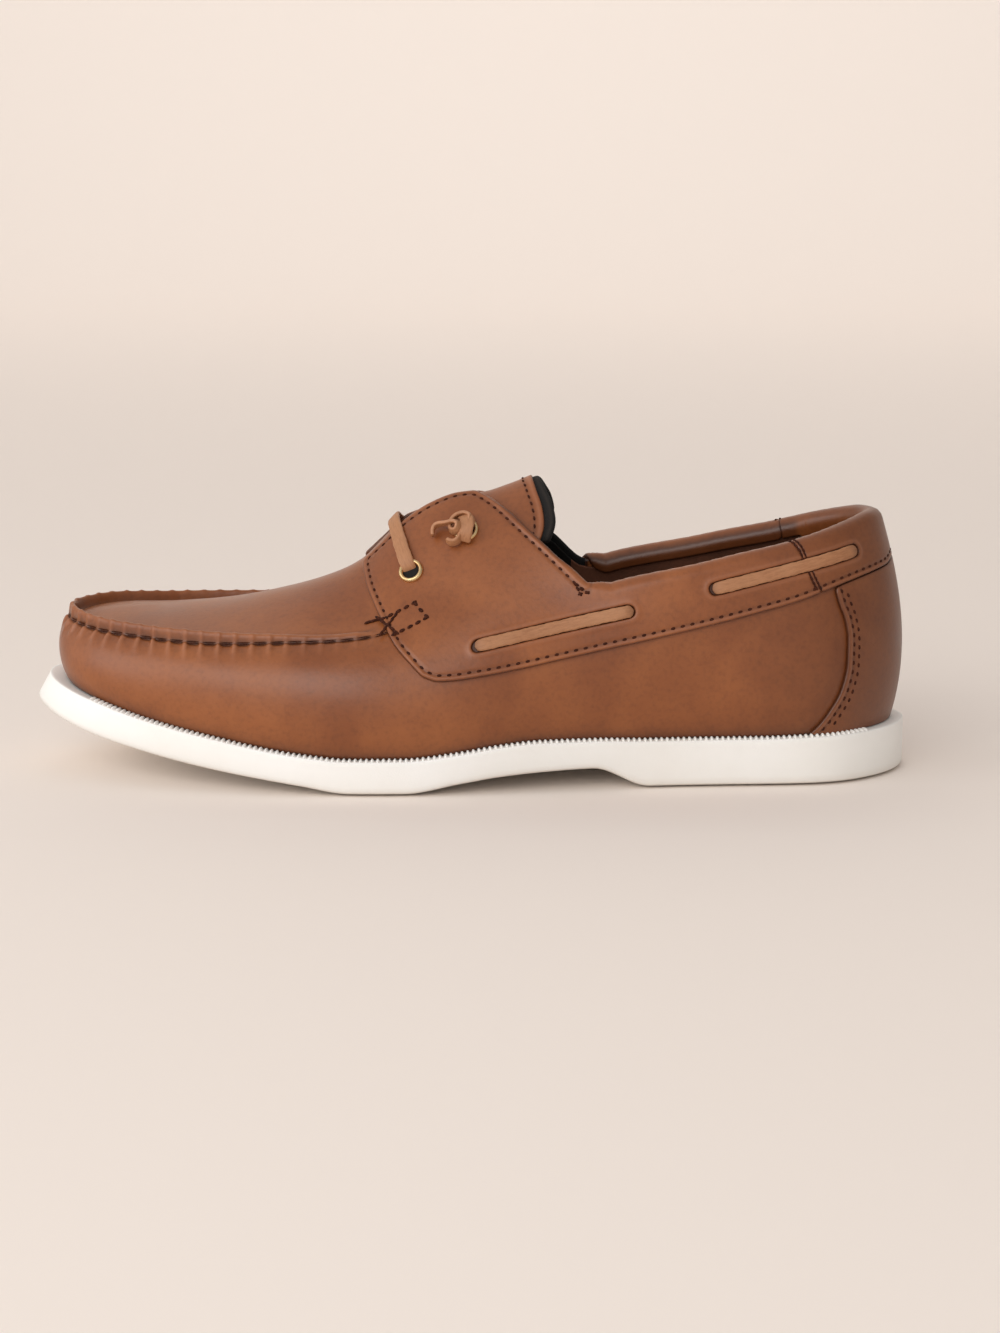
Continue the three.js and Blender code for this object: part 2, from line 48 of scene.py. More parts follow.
camera = bpy.data.objects.new("camera", bpy.data.cameras.new("camera"))
camera.data.lens = 76
camera.location = (0.0101, -0.950, 0.2215)
camera.rotation_euler = (math.pi / 2 - 0.195, 0, 0)
bpy.context.scene.collection.objects.link(camera)
bpy.context.scene.camera = camera
bpy.context.scene.view_settings.view_transform = "Standard"


def linear(red, green, blue):
    """A shader colour from the usual 0 to 255 values."""
    shares = [value / 255 for value in (red, green, blue)]
    return tuple(c / 12.92 if c < 0.04045 else ((c + 0.055) / 1.055) ** 2.4 for c in shares) + (1,)


def plain_material(name, colour, roughness):
    material = bpy.data.materials.new(name)
    material.use_nodes = True
    shader = material.node_tree.nodes["Principled BSDF"]
    shader.inputs["Base Color"].default_value = linear(*colour)
    shader.inputs["Roughness"].default_value = roughness
    return material, material.node_tree, shader


def node(tree, kind, inputs=(), **settings):
    """A new shader or geometry node, its settings, and its plain input values or links."""
    made = tree.nodes.new(kind)
    for name, value in settings.items():
        setattr(made, name, value)
    for name, value in dict(inputs).items():
        if isinstance(value, bpy.types.NodeSocket):
            tree.links.new(value, made.inputs[name])
        else:
            made.inputs[name].default_value = value
    return made


def ramp(tree, value, low, high, to_low=0.0, to_high=1.0):
    """A value turned from one range to another, and held at its ends."""
    made = node(tree, "ShaderNodeMapRange", {"Value": value, "From Min": low, "From Max": high,
                                             "To Min": to_low, "To Max": to_high})
    return made.outputs["Result"]


def surface(tree, shader, height, strength, distance, colour=None, gloss=None):
    """Joins a height, and a colour and roughness where they vary, to a material's shader."""
    bump = node(tree, "ShaderNodeBump", {"Height": height, "Strength": strength,
                                         "Distance": distance})
    for name, socket in (("Normal", bump.outputs["Normal"]), ("Base Color", colour),
                         ("Roughness", gloss)):
        if socket is not None:
            tree.links.new(socket, shader.inputs[name])


def mesh_object(name, points, faces, material):
    mesh = bpy.data.meshes.new(name)
    mesh.from_pydata([tuple(p) for p in points], [], [tuple(int(i) for i in f) for f in faces])
    mesh.materials.append(material)
    mesh.polygons.foreach_set("use_smooth", [True] * len(mesh.polygons))
    made = bpy.data.objects.new(name, mesh)
    bpy.context.scene.collection.objects.link(made)
    return made


def paper_sweep():
    material, tree, shader = plain_material("sweep_paper", (248, 237, 228), 0.95)
    grain = node(tree, "ShaderNodeTexNoise", {"Scale": 900, "Detail": 3})
    surface(tree, shader, grain.outputs["Fac"], 0.05, 0.0002)
    front, back, bend, top, half = -7.0, 2.2, 1.2, 4.0, 7.0
    side = [(front, 0.0)]
    side += [(back + bend * math.sin(a), bend * (1 - math.cos(a)))
             for a in np.linspace(0, 1.5708, 25)]
    side.append((back + bend, top))
    points = [(x, y, z) for y, z in side for x in (-half, half)]
    faces = [(2 * i, 2 * i + 1, 2 * i + 3, 2 * i + 2) for i in range(len(side) - 1)]
    sweep = mesh_object("paper_sweep", points, faces, material)


def soft_box(name, place, target, size, power):
    data = bpy.data.lights.new(name, "AREA")
    data.shape = "RECTANGLE"
    data.size, data.size_y = size
    data.energy = power
    data.color = (1.0, 0.985, 0.97)
    lamp = bpy.data.objects.new(name, data)
    lamp.location = place
    aim = [t - p for t, p in zip(target, place)]
    flat = math.hypot(aim[0], aim[1])
    lamp.rotation_euler = (math.atan2(flat, -aim[2]), 0, math.atan2(aim[1], aim[0]) - math.pi / 2)
    bpy.context.scene.collection.objects.link(lamp)


paper_sweep()
soft_box("key_box", (-0.55, -1.5, 0.9), (0, 0, 0.05), (1.2, 0.8), 8.8)
soft_box("top_box", (-0.2, -0.15, 1.5), (-0.03, 0, 0.05), (1.5, 0.9), 0.45)
soft_box("left_box", (-1.3, -0.6, 0.6), (-0.1, 0, 0.05), (1.0, 0.8), 4.6)
soft_box("back_box", (0, 2.0, 2.5), (0, 3.4, 1.0), (2.4, 0.8), 20.0)
world = bpy.data.worlds.new("room")
world.use_nodes = True
room = world.node_tree
sky = room.nodes["Background"]
way = node(room, "ShaderNodeSeparateXYZ", {
    "Vector": node(room, "ShaderNodeTexCoord").outputs["Generated"]}).outputs
dimmer = node(room, "ShaderNodeMath", {  # brighter to the left and low down
    0: ramp(room, way["X"], -0.6, 0.9, 0.98, 0.44), 1: ramp(room, way["Z"], -0.1, 0.9, 1.0, 0.7)},
    operation="MULTIPLY")
room.links.new(dimmer.outputs["Value"], sky.inputs["Strength"])
sky.inputs["Color"].default_value = (1.0, 0.985, 0.975, 1)
bpy.context.scene.world = world

# ---- The last ------------------------------------------------------------------------------------
# The wooden form that the whole upper is pulled over. Every leather piece is laid on it, so it is
# worked out first: sections from the sole's edge over the shoulder to the spine. Millimetres.

MM = 0.001
GAP = 0.3                    # between one piece and the next
SECTION_COLUMNS = ("pivot", "outer_x", "outer_y", "inner_x", "inner_y", "welt", "kick", "seam_outer",
                   "seam_inner", "high_outer", "high_inner", "lean", "deck")
SECTIONS = np.array([
    (-104, -145, 4, -145, 4, 6.6, 4.6, 7.2, 7.2, 52, 52, 46, 78),
    (-104, -142.2, -9, -143, 16.5, 5.6, 4.6, 8.4, 9.4, 51, 52.4, 50, 78),
    (-104, -133.2, -21.6, -135, 29, 4.4, 4.4, 9.3, 11, 50, 52.4, 55, 77),
    (-104, -119.6, -31, -120.5, 38.6, 3.5, 4.2, 9.6, 12, 49.3, 51.8, 60, 76),
    (-104, -104, -38, -104, 45, 3.2, 4.1, 10.2, 12.2, 48.7, 51, 63, 76),
    (-84, -84, -44.4, -84, 49.6, 3.2, 4.1, 11, 12.8, 48.2, 50.8, 64, 74),
    (-62, -62, -48.8, -62, 51, 3.2, 4.1, 12.7, 13.2, 49, 51.8, 63, 69),
    (-39, -39, -50.9, -39, 48.4, 3.2, 4.2, 13.8, 12, 50.3, 52.6, 58, 61),
    (-16, -16, -50.5, -16, 42.4, 3.2, 4.3, 15.6, 9.6, 55.5, 56.5, 46, 47),
    (6, 6, -47.8, 6, 36.4, 3.2, 4.6, 15.2, 6.2, 64, 64, 33, 33),
    (30, 30, -43.5, 30, 32.4, 3.2, 4.8, 11.8, 2.6, 68, 68, 22, 22),
    (54, 54, -39.8, 54, 32, 3.2, 5, 6.6, 0.2, 69, 69, 12, 12),
    (80, 80, -37.3, 80, 33, 3.2, 5, 6, 3.2, 74.5, 74.5, 11, 11),
    (110, 110, -35.4, 110, 34.2, 3.4, 5.2, 9.6, 8.6, 81.5, 81.5, 15, 15),
    (110, 128.5, -30, 128.5, 29.6, 4.2, 5.8, 11.4, 11, 85.3, 85.3, 17, 17),
    (110, 141.6, -18.6, 141.6, 18.6, 5.2, 6.6, 11.4, 11.2, 87.4, 87.4, 17, 17),
    (110, 147.4, -8, 147.4, 8, 5.8, 7.2, 11.2, 11.2, 88.3, 88.3, 17, 17),
    (110, 149, 0, 149, 0, 6, 7.4, 11.2, 11.2, 88.5, 88.5, 17, 17),
])
SPINE = np.array([
    (-104, 3.5, 54.8), (-84, 2.4, 56.8), (-62, 1, 61.5), (-45, 0, 67.1), (-37, 0, 71.4),
    (-29, 0, 79.2), (-21, 0, 87.4), (-12, 0, 93.2), (-4, 0, 95.9), (5, 0, 96.8), (13, 0, 99.3),
    (21, 0, 102.9), (32, 0, 106), (54, 0, 108), (110, 0, 112),
])
SOLE = np.array([  # x, top edge, tread
    (-149, 33.6, 23), (-140, 31, 19.4), (-125, 26.9, 14.8), (-110, 23, 11.5), (-96, 20, 8.7),
    (-82, 17.4, 6.3), (-69, 15, 4.3), (-56, 13.1, 2.4), (-39.5, 11.7, 0), (-21.5, 11.8, 0),
    (-3, 13.7, 3), (10, 15.6, 4.9), (24, 16.7, 6), (41, 16.7, 6.6), (60, 16.2, 0), (97, 16.2, 0),
    (125, 16.9, 0), (149, 17.2, 0),
])
LAST_ROW = len(SECTIONS) - 1
LOOP = 2 * LAST_ROW  # the loop runs from the toe down the outer side and back along the inner side
FAN = 4.0  # up to this many rows in from each end, the sections fan out from one pivot


def run_along(points):
    """How far along a line each of its points lies."""
    return np.concatenate([[0], np.cumsum(np.linalg.norm(np.diff(points, axis=0), axis=1))])


def loop_spline(values):
    """A smooth closed curve through evenly spaced values."""
    n = len(values)
    kink = np.roll(values, -1) - 2 * values + np.roll(values, 1)
    one = np.eye(n)
    bend = np.linalg.solve(4 * one + np.roll(one, 1, 1) + np.roll(one, -1, 1), 6 * kink)

    def at(u):
        whole = np.floor(u)
        i = whole.astype(int) % n
        k = (i + 1) % n
        f = u - whole
        g = 1 - f
        return g * values[i] + f * values[k] + ((g**3 - g) * bend[i] + (f**3 - f) * bend[k]) / 6

    return at


def row_curve(x, values):
    """A curve over x that never overshoots its rows."""
    rise = np.diff(values) / np.diff(x)
    product = rise[:-1] * rise[1:]
    total = np.where(product > 0, rise[:-1] + rise[1:], 1)
    slope = np.concatenate([rise[:1], np.where(product > 0, 2 * product / total, 0), rise[-1:]])

    def at(where):
        i = np.clip(np.searchsorted(x, where) - 1, 0, len(x) - 2)
        width = x[i + 1] - x[i]
        f = np.clip((where - x[i]) / width, 0, 1)
        g = 1 - f
        return (values[i] * g * g * (1 + 2 * f) + values[i + 1] * f * f * (1 + 2 * g)
                + width * f * g * (slope[i] * g - slope[i + 1] * f))

    return at


def section_curve(outer, inner=None):
    """One column of the sections as a curve round the whole loop."""
    down = SECTIONS[:, SECTION_COLUMNS.index(outer)]
    back = SECTIONS[:, SECTION_COLUMNS.index(inner or outer)]
    return loop_spline(np.concatenate([down, back[-2:0:-1]]))


edge_x = section_curve("outer_x", "inner_x")
edge_y = section_curve("outer_y", "inner_y")
seam_inset = section_curve("seam_outer", "seam_inner")
high = section_curve("high_outer", "high_inner")
pivot, welt, kick, lean, deck = (section_curve(c) for c in ("pivot", "welt", "kick", "lean", "deck"))
spine_y = row_curve(SPINE[:, 0], SPINE[:, 1])
spine_z = row_curve(SPINE[:, 0], SPINE[:, 2])
sole_top = row_curve(SOLE[:, 0], SOLE[:, 1])
sole_tread = row_curve(SOLE[:, 0], SOLE[:, 2])


def section_x(u):
    """Where the section at u meets the spine. The inner side repeats the outer one."""
    return np.where(u <= LAST_ROW, pivot(u), pivot(LOOP - u))


def station(u):
    """Where a section starts on the sole's edge, its direction in plan, and its spine point."""
    edge = np.stack([edge_x(u), edge_y(u)], -1)
    x = pivot(u)
    x = np.where(x < SECTIONS[0, 0] + 1, SECTIONS[0, 0], x)
    x = np.where(x > SECTIONS[-1, 0] - 1, SECTIONS[-1, 0], x)
    spine = np.stack([x, spine_y(x)], -1)
    reach = np.linalg.norm(spine - edge, axis=-1)
    return edge, spine, (spine - edge) / reach[..., None], reach


def smooth(x):
    """An even step from 0 to 1."""
    f = np.clip(x, 0, 1)
    return f * f * (3 - 2 * f)


def hump(x, width):
    """A rounded hump, 1 at 0 and gone at about twice its width."""
    return np.exp(-((x / width) ** 2))


def bezier(a, b, c, d, f):
    g = 1 - f
    return a * g**3 + 3 * b * g * g * f + 3 * c * g * f * f + d * f**3


def bare_last(u, s):
    """A point of the last. s runs 0 to 1 from the sole to the shoulder and 1 to 2 on to the spine."""
    edge, spine, inward, reach = station(u)
    margin, seam, top = welt(u), seam_inset(u), high(u)
    foot = sole_top(edge[..., 0] + inward[..., 0] * margin) + GAP
    wall_lean, deck_lean = np.radians(lean(u)), np.radians(deck(u))
    climb, crown, across = top - foot, spine_z(spine[..., 0]), reach - seam
    run = 0.32 * np.hypot(across, crown - top)
    f, g = np.clip(s, 0, 1), np.clip(s - 1, 0, 1)
    wall_in = bezier(margin, margin - kick(u), seam - 0.32 * climb * np.sin(wall_lean), seam, f)
    wall_z = bezier(foot, foot + 0.36 * climb, top - 0.32 * climb * np.cos(wall_lean), top, f)
    deck_in = bezier(seam, seam + run * np.sin(deck_lean), reach - 0.35 * across, reach, g)
    deck_z = bezier(top, top + run * np.cos(deck_lean), crown, crown, g)
    inset = np.where(s < 1, wall_in, deck_in)
    plan = edge + inward * inset[..., None]
    return np.concatenate([plan, np.where(s < 1, wall_z, deck_z)[..., None]], -1)


def unit(vectors):
    return vectors / np.maximum(np.linalg.norm(vectors, axis=-1, keepdims=True), 1e-9)


def spine_way(x):
    """The direction in which the spine runs back."""
    return unit(np.stack([0 * x + 2, 0 * x, spine_z(x + 1) - spine_z(x - 1)], -1))


def last(u, s):
    """Points of the last, the outward directions there, and the directions up the section."""
    u, s = np.broadcast_arrays(np.asarray(u, float), np.asarray(s, float))
    t = np.clip(s, 0.015, 1.97)
    up = bare_last(u, t + 0.015) - bare_last(u, t - 0.015)
    along = bare_last(u + 0.02, t) - bare_last(u - 0.02, t)
    points, outs = bare_last(u, s), unit(np.cross(along, up))
    over_spine = spine_way(points[..., 0])
    spine_out = unit(np.stack([-over_spine[..., 2], 0 * u, over_spine[..., 0]], -1))
    return points, np.where((s > 1.999)[..., None], spine_out, outs), unit(up)


# Tables that turn a place on the leather, laid flat, into u and s: lengths along the loop, and
# girths up each section from the sole.
U_TABLE = np.linspace(0, LOOP, 1361)
S_TABLE = np.linspace(0, 2, 241)
HALF_TABLE = len(U_TABLE) // 2 + 1
grid_points = bare_last(*np.broadcast_arrays(U_TABLE[:, None], S_TABLE[None, :]))
GIRTH = np.concatenate([np.zeros((len(U_TABLE), 1)),
                        np.cumsum(np.linalg.norm(np.diff(grid_points, axis=1), axis=-1), 1)], 1)
ring_points = bare_last(U_TABLE, np.full_like(U_TABLE, 0.7))
LENGTH = run_along(ring_points)


def length_at(u):
    return np.interp(u, U_TABLE, LENGTH)


def u_at(length):
    return np.interp(length, LENGTH, U_TABLE)


def girth_rows(u):
    """The girths at each s of the table, for the sections at u."""
    i = np.clip((u / LOOP * (len(U_TABLE) - 1)).astype(int), 0, len(U_TABLE) - 2)
    f = (u / LOOP * (len(U_TABLE) - 1) - i)[:, None]
    return GIRTH[i] * (1 - f) + GIRTH[i + 1] * f


def girth_of(u, s):
    """The girth at which s lies, for one-dimensional arrays."""
    rows = girth_rows(u)
    place = s / 2 * (len(S_TABLE) - 1)
    k = np.clip(place.astype(int), 0, len(S_TABLE) - 2)
    n = np.arange(len(u))
    return rows[n, k] + (rows[n, k + 1] - rows[n, k]) * (place - k)


def s_of(u, girth):
    """The s that lies at this girth, for one-dimensional arrays."""
    rows = girth_rows(u)
    k = np.clip((rows < girth[:, None]).sum(1) - 1, 0, len(S_TABLE) - 2)
    n = np.arange(len(u))
    share = (girth - rows[n, k]) / (rows[n, k + 1] - rows[n, k])
    return np.clip(S_TABLE[k] + share * (S_TABLE[1] - S_TABLE[0]), 0, 2)


def halve(low, far, under, rounds=20):
    """Where a test turns from true to false, found by halving the stretch between."""
    for _ in range(rounds):
        middle = (low + far) / 2
        below = under(middle)
        low, far = np.where(below, middle, low), np.where(below, far, middle)
    return low


def s_at_height(u, z):
    return halve(np.zeros_like(u), np.full_like(u, 2.0),
                 lambda s: bare_last(u, s)[..., 2] < z, 13)


SIDES = ("outer", "inner")


def turned_u(side, u):
    return u if side == "outer" else LOOP - u


def on_side(side, x, z):
    """u and s of places that are given by x and z in side view."""
    x, z = np.asarray(x, float), np.asarray(z, float)

    def behind(u):
        u = turned_u(side, u)
        return bare_last(u, s_at_height(u, z))[..., 0] < x

    u = turned_u(side, halve(np.full_like(x, FAN), np.full_like(x, float(LAST_ROW)), behind, 15))
    return u, s_at_height(u, z)


def crossing(x):
    """The u at which the sections' pivots pass x, on the outer side."""
    x = np.asarray(x, float)
    return halve(np.full_like(x, FAN), np.full_like(x, LAST_ROW - FAN), lambda u: pivot(u) < x)


# ---- Cut edge of the upper -----------------------------------------------------------------------
# The upper is cut away for the throat, from its rounded front end between the facings, down the
# back of the wings and round the collar. The collar is padded and rolled, the rest is thin.

THROAT_HALF = 7.6            # half the width of the throat's rounded front end
THROAT_WIDENS = np.array([(-19, 7.6), (-5, 7.1), (3, 7.1), (12, 10.5), (40, 21.5)])  # x, half
throat_u = U_TABLE[np.searchsorted(U_TABLE, crossing(-27.0))]
THROAT_FRONT = float(pivot(throat_u))
INNER_WIDER = 2.4            # the inner facing is cut back this much further from the middle
ROLL_THIN, ROLL_PADDED = 1.1, 2.3  # radius of the rim at the throat and round the collar
THICK = 1.25                 # the leather of the upper
OPENING = np.array([  # x, z
    (-30, 118), (-8, 108), (0, 97), (8, 92.6), (16, 86.4), (28, 76.4), (40, 66.2), (44, 66.8),
    (54, 69.2), (76, 73.4), (90, 76.6), (106, 80), (120, 83.8), (131, 86.8), (136, 88), (150, 88.8),
])
opening_z = row_curve(OPENING[:, 0], OPENING[:, 1])


def edge_table():
    """For each u of the table, the girth at which the outer surface ends and the rim's radius."""
    u = U_TABLE
    x = section_x(u)
    padded = smooth((x - 40) / 8)
    radius = ROLL_THIN + (ROLL_PADDED - ROLL_THIN) * padded

    def under_opening(s):
        p = bare_last(u, s)
        return p[..., 2] < opening_z(p[..., 0]) - radius * padded

    def outside_throat(s):
        p = bare_last(u, s)
        along = p[..., 0] - THROAT_FRONT
        nose = np.sqrt(np.clip(1 - (1 - along / THROAT_HALF) ** 2, 0, 1)) * THROAT_HALF
        half = np.where(along < THROAT_HALF, nose, np.interp(p[..., 0], *THROAT_WIDENS.T))
        half = half + INNER_WIDER * smooth((along - 3) / 9) * (p[..., 1] > 0)
        return (np.abs(p[..., 1]) > half) | (along < 0) | (p[..., 0] > 42)

    s = halve(np.zeros_like(u), np.full_like(u, 2.0),
              lambda t: under_opening(t) & outside_throat(t))
    s = np.where(x < THROAT_FRONT + 0.01, 2.0, s)
    return s, girth_of(u, s), radius


EDGE_S, EDGE_GIRTH, EDGE_RADIUS = edge_table()


def edge_girth(u):
    return np.interp(u, U_TABLE, EDGE_GIRTH)


def edge_radius(u):
    return np.interp(u, U_TABLE, EDGE_RADIUS)


def rim_ways():
    """For each u of the table, the direction square to the cut edge, away from the leather."""
    points, outs, up = last(U_TABLE, EDGE_S)
    ways = unit(np.cross(outs, np.gradient(points, axis=0)))
    ways *= np.where((ways * up).sum(-1) < 0, -1, 1)[:, None]
    front = np.searchsorted(U_TABLE, throat_u + 1e-6) - 1
    for ahead in (np.arange(front + 1), np.arange(len(U_TABLE) - 1 - front, len(U_TABLE))):
        ways[ahead] = spine_way(points[ahead, 0])
    return ways


RIM_WAYS = rim_ways()


def skin(u, girth, height):
    """A point at this height over the upper. Past its cut edge the girth runs on over the rolled
    rim and down the inside, where height stands off the lining."""
    u, girth, height = (np.ravel(a) for a in np.broadcast_arrays(
        np.asarray(u, float), np.asarray(girth, float), np.asarray(height, float)))
    edge, radius = edge_girth(u), edge_radius(u)
    past = np.maximum(girth - edge, 0)
    turn = np.minimum(past / radius, math.pi)[:, None]
    down = np.maximum(past - math.pi * radius, 0)
    rim, rim_out, _ = last(u, s_of(u, edge))
    rim_up = unit(np.stack([np.interp(u, U_TABLE, RIM_WAYS[:, k]) for k in range(3)], 1))
    body, body_out, _ = last(u, s_of(u, np.minimum(girth, edge)))
    inner, inner_out, _ = last(u, s_of(u, np.maximum(edge - down, 0)))
    r, h = radius[:, None], height[:, None]
    depth = THICK + (2 * r - THICK) * np.exp(-np.maximum(down - 3, 0) / 9)[:, None]
    over = rim - rim_out * r + (r + h) * (np.cos(turn) * rim_out + np.sin(turn) * rim_up)
    inside = inner - inner_out * (depth + h)
    points = np.where((past > 0)[:, None], over, body + body_out * h)
    points = np.where((down > 0)[:, None], inside, points)
    outs = np.where((past > 0)[:, None], np.cos(turn) * rim_out + np.sin(turn) * rim_up, body_out)
    return points, np.where((down > 0)[:, None], -inner_out, outs)


# ---- Leather -------------------------------------------------------------------------------------
# Smooth full-grain cowhide, dyed mid brown and burnished by hand: clouded colour, a fine grain,
# darker cut edges, rubbed a little paler on the rolled rim. Painted shade darkens the heel, the
# grooves beside seams and the join at the sole; painted highlight makes ridges and folds paler.

BROWN, BROWN_DEEP = (153, 88, 44), (132, 72, 34)
# The dark colour serves burnish and painted shade; the pale one serves rubbing and painted highlight.
BURNISHED_AND_SHADE, RUBBED_AND_HIGHLIGHT = (62, 30, 15), (184, 124, 92)
# Painted shade: the leather darkens towards the heel between these two places.
HEEL_PAINTED_SHADE = (0.085, 0.15)  # metres along the shoe


def on_piece(tree):
    """The place on a piece, in its own coordinates."""
    return node(tree, "ShaderNodeTexCoord").outputs["Object"]


def kept(tree, name, output="Fac"):
    """A value that the piece's mesh holds for each of its points."""
    return node(tree, "ShaderNodeAttribute", attribute_name=name).outputs[output]


def noise(tree, place, scale, detail, **more):
    """Soft random clouds over a place."""
    return node(tree, "ShaderNodeTexNoise", {"Vector": place, "Scale": scale, "Detail": detail,
                                             **more}).outputs["Fac"]


def grain_group():
    """Fine pores and clouded colour, for every leather in the shoe."""
    tree = bpy.data.node_groups.new("hide_grain", "ShaderNodeTree")
    for name, value in (("Pore Scale", 900.0), ("Cloud Scale", 38.0)):
        socket = tree.interface.new_socket(name, in_out="INPUT", socket_type="NodeSocketFloat")
        socket.default_value = value
    for name in ("Height", "Clouds", "Speckle"):
        tree.interface.new_socket(name, in_out="OUTPUT", socket_type="NodeSocketFloat")
    given, result = node(tree, "NodeGroupInput"), node(tree, "NodeGroupOutput")
    place = on_piece(tree)
    pores = node(tree, "ShaderNodeTexVoronoi", {"Vector": place, "Scale": given.outputs["Pore Scale"],
                                                "Randomness": 1.0}, feature="SMOOTH_F1")
    fuzz = noise(tree, place, 1900.0, 4.0, Roughness=0.6)
    clouds = noise(tree, place, given.outputs["Cloud Scale"], 5.0, Roughness=0.55, Distortion=0.4)
    speckle = noise(tree, place, 620.0, 2.0)
    height = node(tree, "ShaderNodeMath", {0: pores.outputs["Distance"], 1: 0.7, 2: fuzz},
                  operation="MULTIPLY_ADD")
    for name, socket in (("Height", height.outputs["Value"]), ("Clouds", clouds),
                         ("Speckle", speckle)):
        tree.links.new(socket, result.inputs[name])
    return tree


GRAIN = grain_group()


def mix(tree, share, first, second):
    """A colour between two: each is a socket or 0 to 255 values."""
    made = node(tree, "ShaderNodeMix", data_type="RGBA")
    for name, value in (("Factor", share), ("A", first), ("B", second)):
        socket = next(s for s in made.inputs if s.name == name and s.enabled)
        if isinstance(value, bpy.types.NodeSocket):
            tree.links.new(value, socket)
        else:
            socket.default_value = value if name == "Factor" else linear(*value)
    return next(s for s in made.outputs if s.enabled)


def worn_and_painted_light(tree, burnish_and_painted_light, colour, darker_and_shade, paler_and_highlight):
    """A colour turned to the dark one above 0 and to the pale one below: wear, and painted shade and
    highlight.
    """
    colour = mix(tree, ramp(tree, burnish_and_painted_light, 0.0, 1.0), colour, darker_and_shade)
    return mix(tree, ramp(tree, burnish_and_painted_light, 0.0, -1.0), colour, paler_and_highlight)


def hide(name, light, deep, roughness, pore_depth, pore_scale=900.0, darker_and_shade=BURNISHED_AND_SHADE,
         paler_and_highlight=RUBBED_AND_HIGHLIGHT):
    """A leather that the burnish attribute darkens above 0 and makes paler below 0: real burnish and
    wear, and painted shade and painted highlight.
    """
    material, tree, shader = plain_material(name, light, roughness)
    grain = node(tree, "ShaderNodeGroup", node_tree=GRAIN)
    grain.inputs["Pore Scale"].default_value = pore_scale
    burnish_and_painted_light = kept(tree, "burnish_and_painted_light")
    colour = mix(tree, ramp(tree, grain.outputs["Clouds"], 0.34, 0.66), light, deep)
    colour = mix(tree, ramp(tree, grain.outputs["Speckle"], 0.45, 0.8, 0.0, 0.22), colour, darker_and_shade)
    # Painted shade, darker towards the heel.
    along = node(tree, "ShaderNodeSeparateXYZ", {"Vector": on_piece(tree)}).outputs["X"]
    colour = mix(tree, ramp(tree, along, *HEEL_PAINTED_SHADE, 0.0, 0.6), colour, darker_and_shade)
    colour = worn_and_painted_light(tree, burnish_and_painted_light, colour, darker_and_shade, paler_and_highlight)
    gloss = ramp(tree, grain.outputs["Clouds"], 0.3, 0.7, roughness + 0.06, roughness - 0.04)
    surface(tree, shader, grain.outputs["Height"], 0.5, pore_depth, colour, gloss)
    return material


leather = hide("burnished_leather", BROWN, BROWN_DEEP, 0.35, 0.00006)
lining = hide("collar_lining", (120, 73, 50), (94, 57, 39), 0.72, 0.00012, 1300.0, (30, 17, 12),
              (110, 70, 50))
backing = hide("dark_backing", (24, 19, 16), (15, 12, 11), 0.9, 0.0002, 1500.0, (14, 12, 11),
               (60, 50, 42))


def mark(mesh, name, values):
    """Keeps one value or one direction for each point of a mesh."""
    values = np.asarray(values, np.float32)
    kind, field = ("FLOAT", "value") if values.ndim == 1 else ("FLOAT_VECTOR", "vector")
    mesh.attributes.new(name, kind, "POINT").data.foreach_set(field, values.ravel())


def mended(made, *steps):
    """Runs each step on a piece's mesh."""
    work = bmesh.new()
    work.from_mesh(made.data)
    for step in steps:
        step(work)
    work.to_mesh(made.data)
    work.free()
    return made


def merge_doubles(work):
    bmesh.ops.remove_doubles(work, verts=work.verts, dist=2e-6)


def drop_slivers(work):
    bmesh.ops.dissolve_degenerate(work, edges=work.edges, dist=1e-6)


def face_outwards(work):
    bmesh.ops.recalc_face_normals(work, faces=work.faces)


def finished(name, points, faces, material, burnish_and_painted_light=None):
    """A smooth piece of the shoe from points in millimetres, closed at its seams and poles."""
    made = mesh_object(name, np.asarray(points) * MM, faces, material)
    if burnish_and_painted_light is not None:
        mark(made.data, "burnish_and_painted_light", burnish_and_painted_light)
    return mended(made, merge_doubles, drop_slivers)


def stands_for(piece, slot, *nodes):
    """Fixes a piece to the shoe and hides the plain parts that it takes over. Its slot is not used."""
    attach(piece, "root")
    if nodes:
        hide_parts(*nodes)
    return piece


def band_faces(low, high, n, closed=True):
    """Faces between two rows of n points that start at these numbers."""
    return [(low + i, low + (i + 1) % n, high + (i + 1) % n, high + i)
            for i in range(n if closed else n - 1)]


def strip_faces(rows, columns, start=0, closed=True):
    """Faces between rows of columns, each row after the other from start."""
    return [face for j in range(start, start + (rows - 1) * columns, columns)
            for face in band_faces(j, j + columns, columns, closed)]


# ---- Upper ---------------------------------------------------------------------------------------
# One hull of leather: the wall comes up from the sole, and at the toe its edge is gathered and
# hand-sewn to the plug with a standing ridge. The collar is padded and turned over.

MOC_END = -29.0              # the hand-sewn seam ends under the saddles, at this x
RIDGE = 3.8
GATHER_PITCH = 5.7
GATHER_LIFT = 1.2            # how far the leather swells between two stitches
BACKED_TO = 41.0             # the inside and the throat's cut edge are backed in black, to this x
BACKED = 2.0                 # a burnish this strong marks them
THROAT_STEP, TOE_STEP, SIDE_STEP = 0.6, 0.66, 1.5
moc_end_u = float(crossing(MOC_END))


def moc_arc():
    """u from one end of the hand-sewn seam round the toe to the other, and lengths along it."""
    u = np.linspace(-moc_end_u, moc_end_u, 1200)
    return u, run_along(last(u % LOOP, np.ones_like(u))[0])


MOC_U, MOC_LENGTH = moc_arc()
MOC_STITCHES = round(MOC_LENGTH[-1] / GATHER_PITCH)


def gather_phase(u):
    """Counts stitches along the hand-sewn seam. Whole numbers are the stitches."""
    around = np.where(u > LAST_ROW, u - LOOP, u)
    return np.interp(around, MOC_U, MOC_LENGTH) / MOC_LENGTH[-1] * MOC_STITCHES


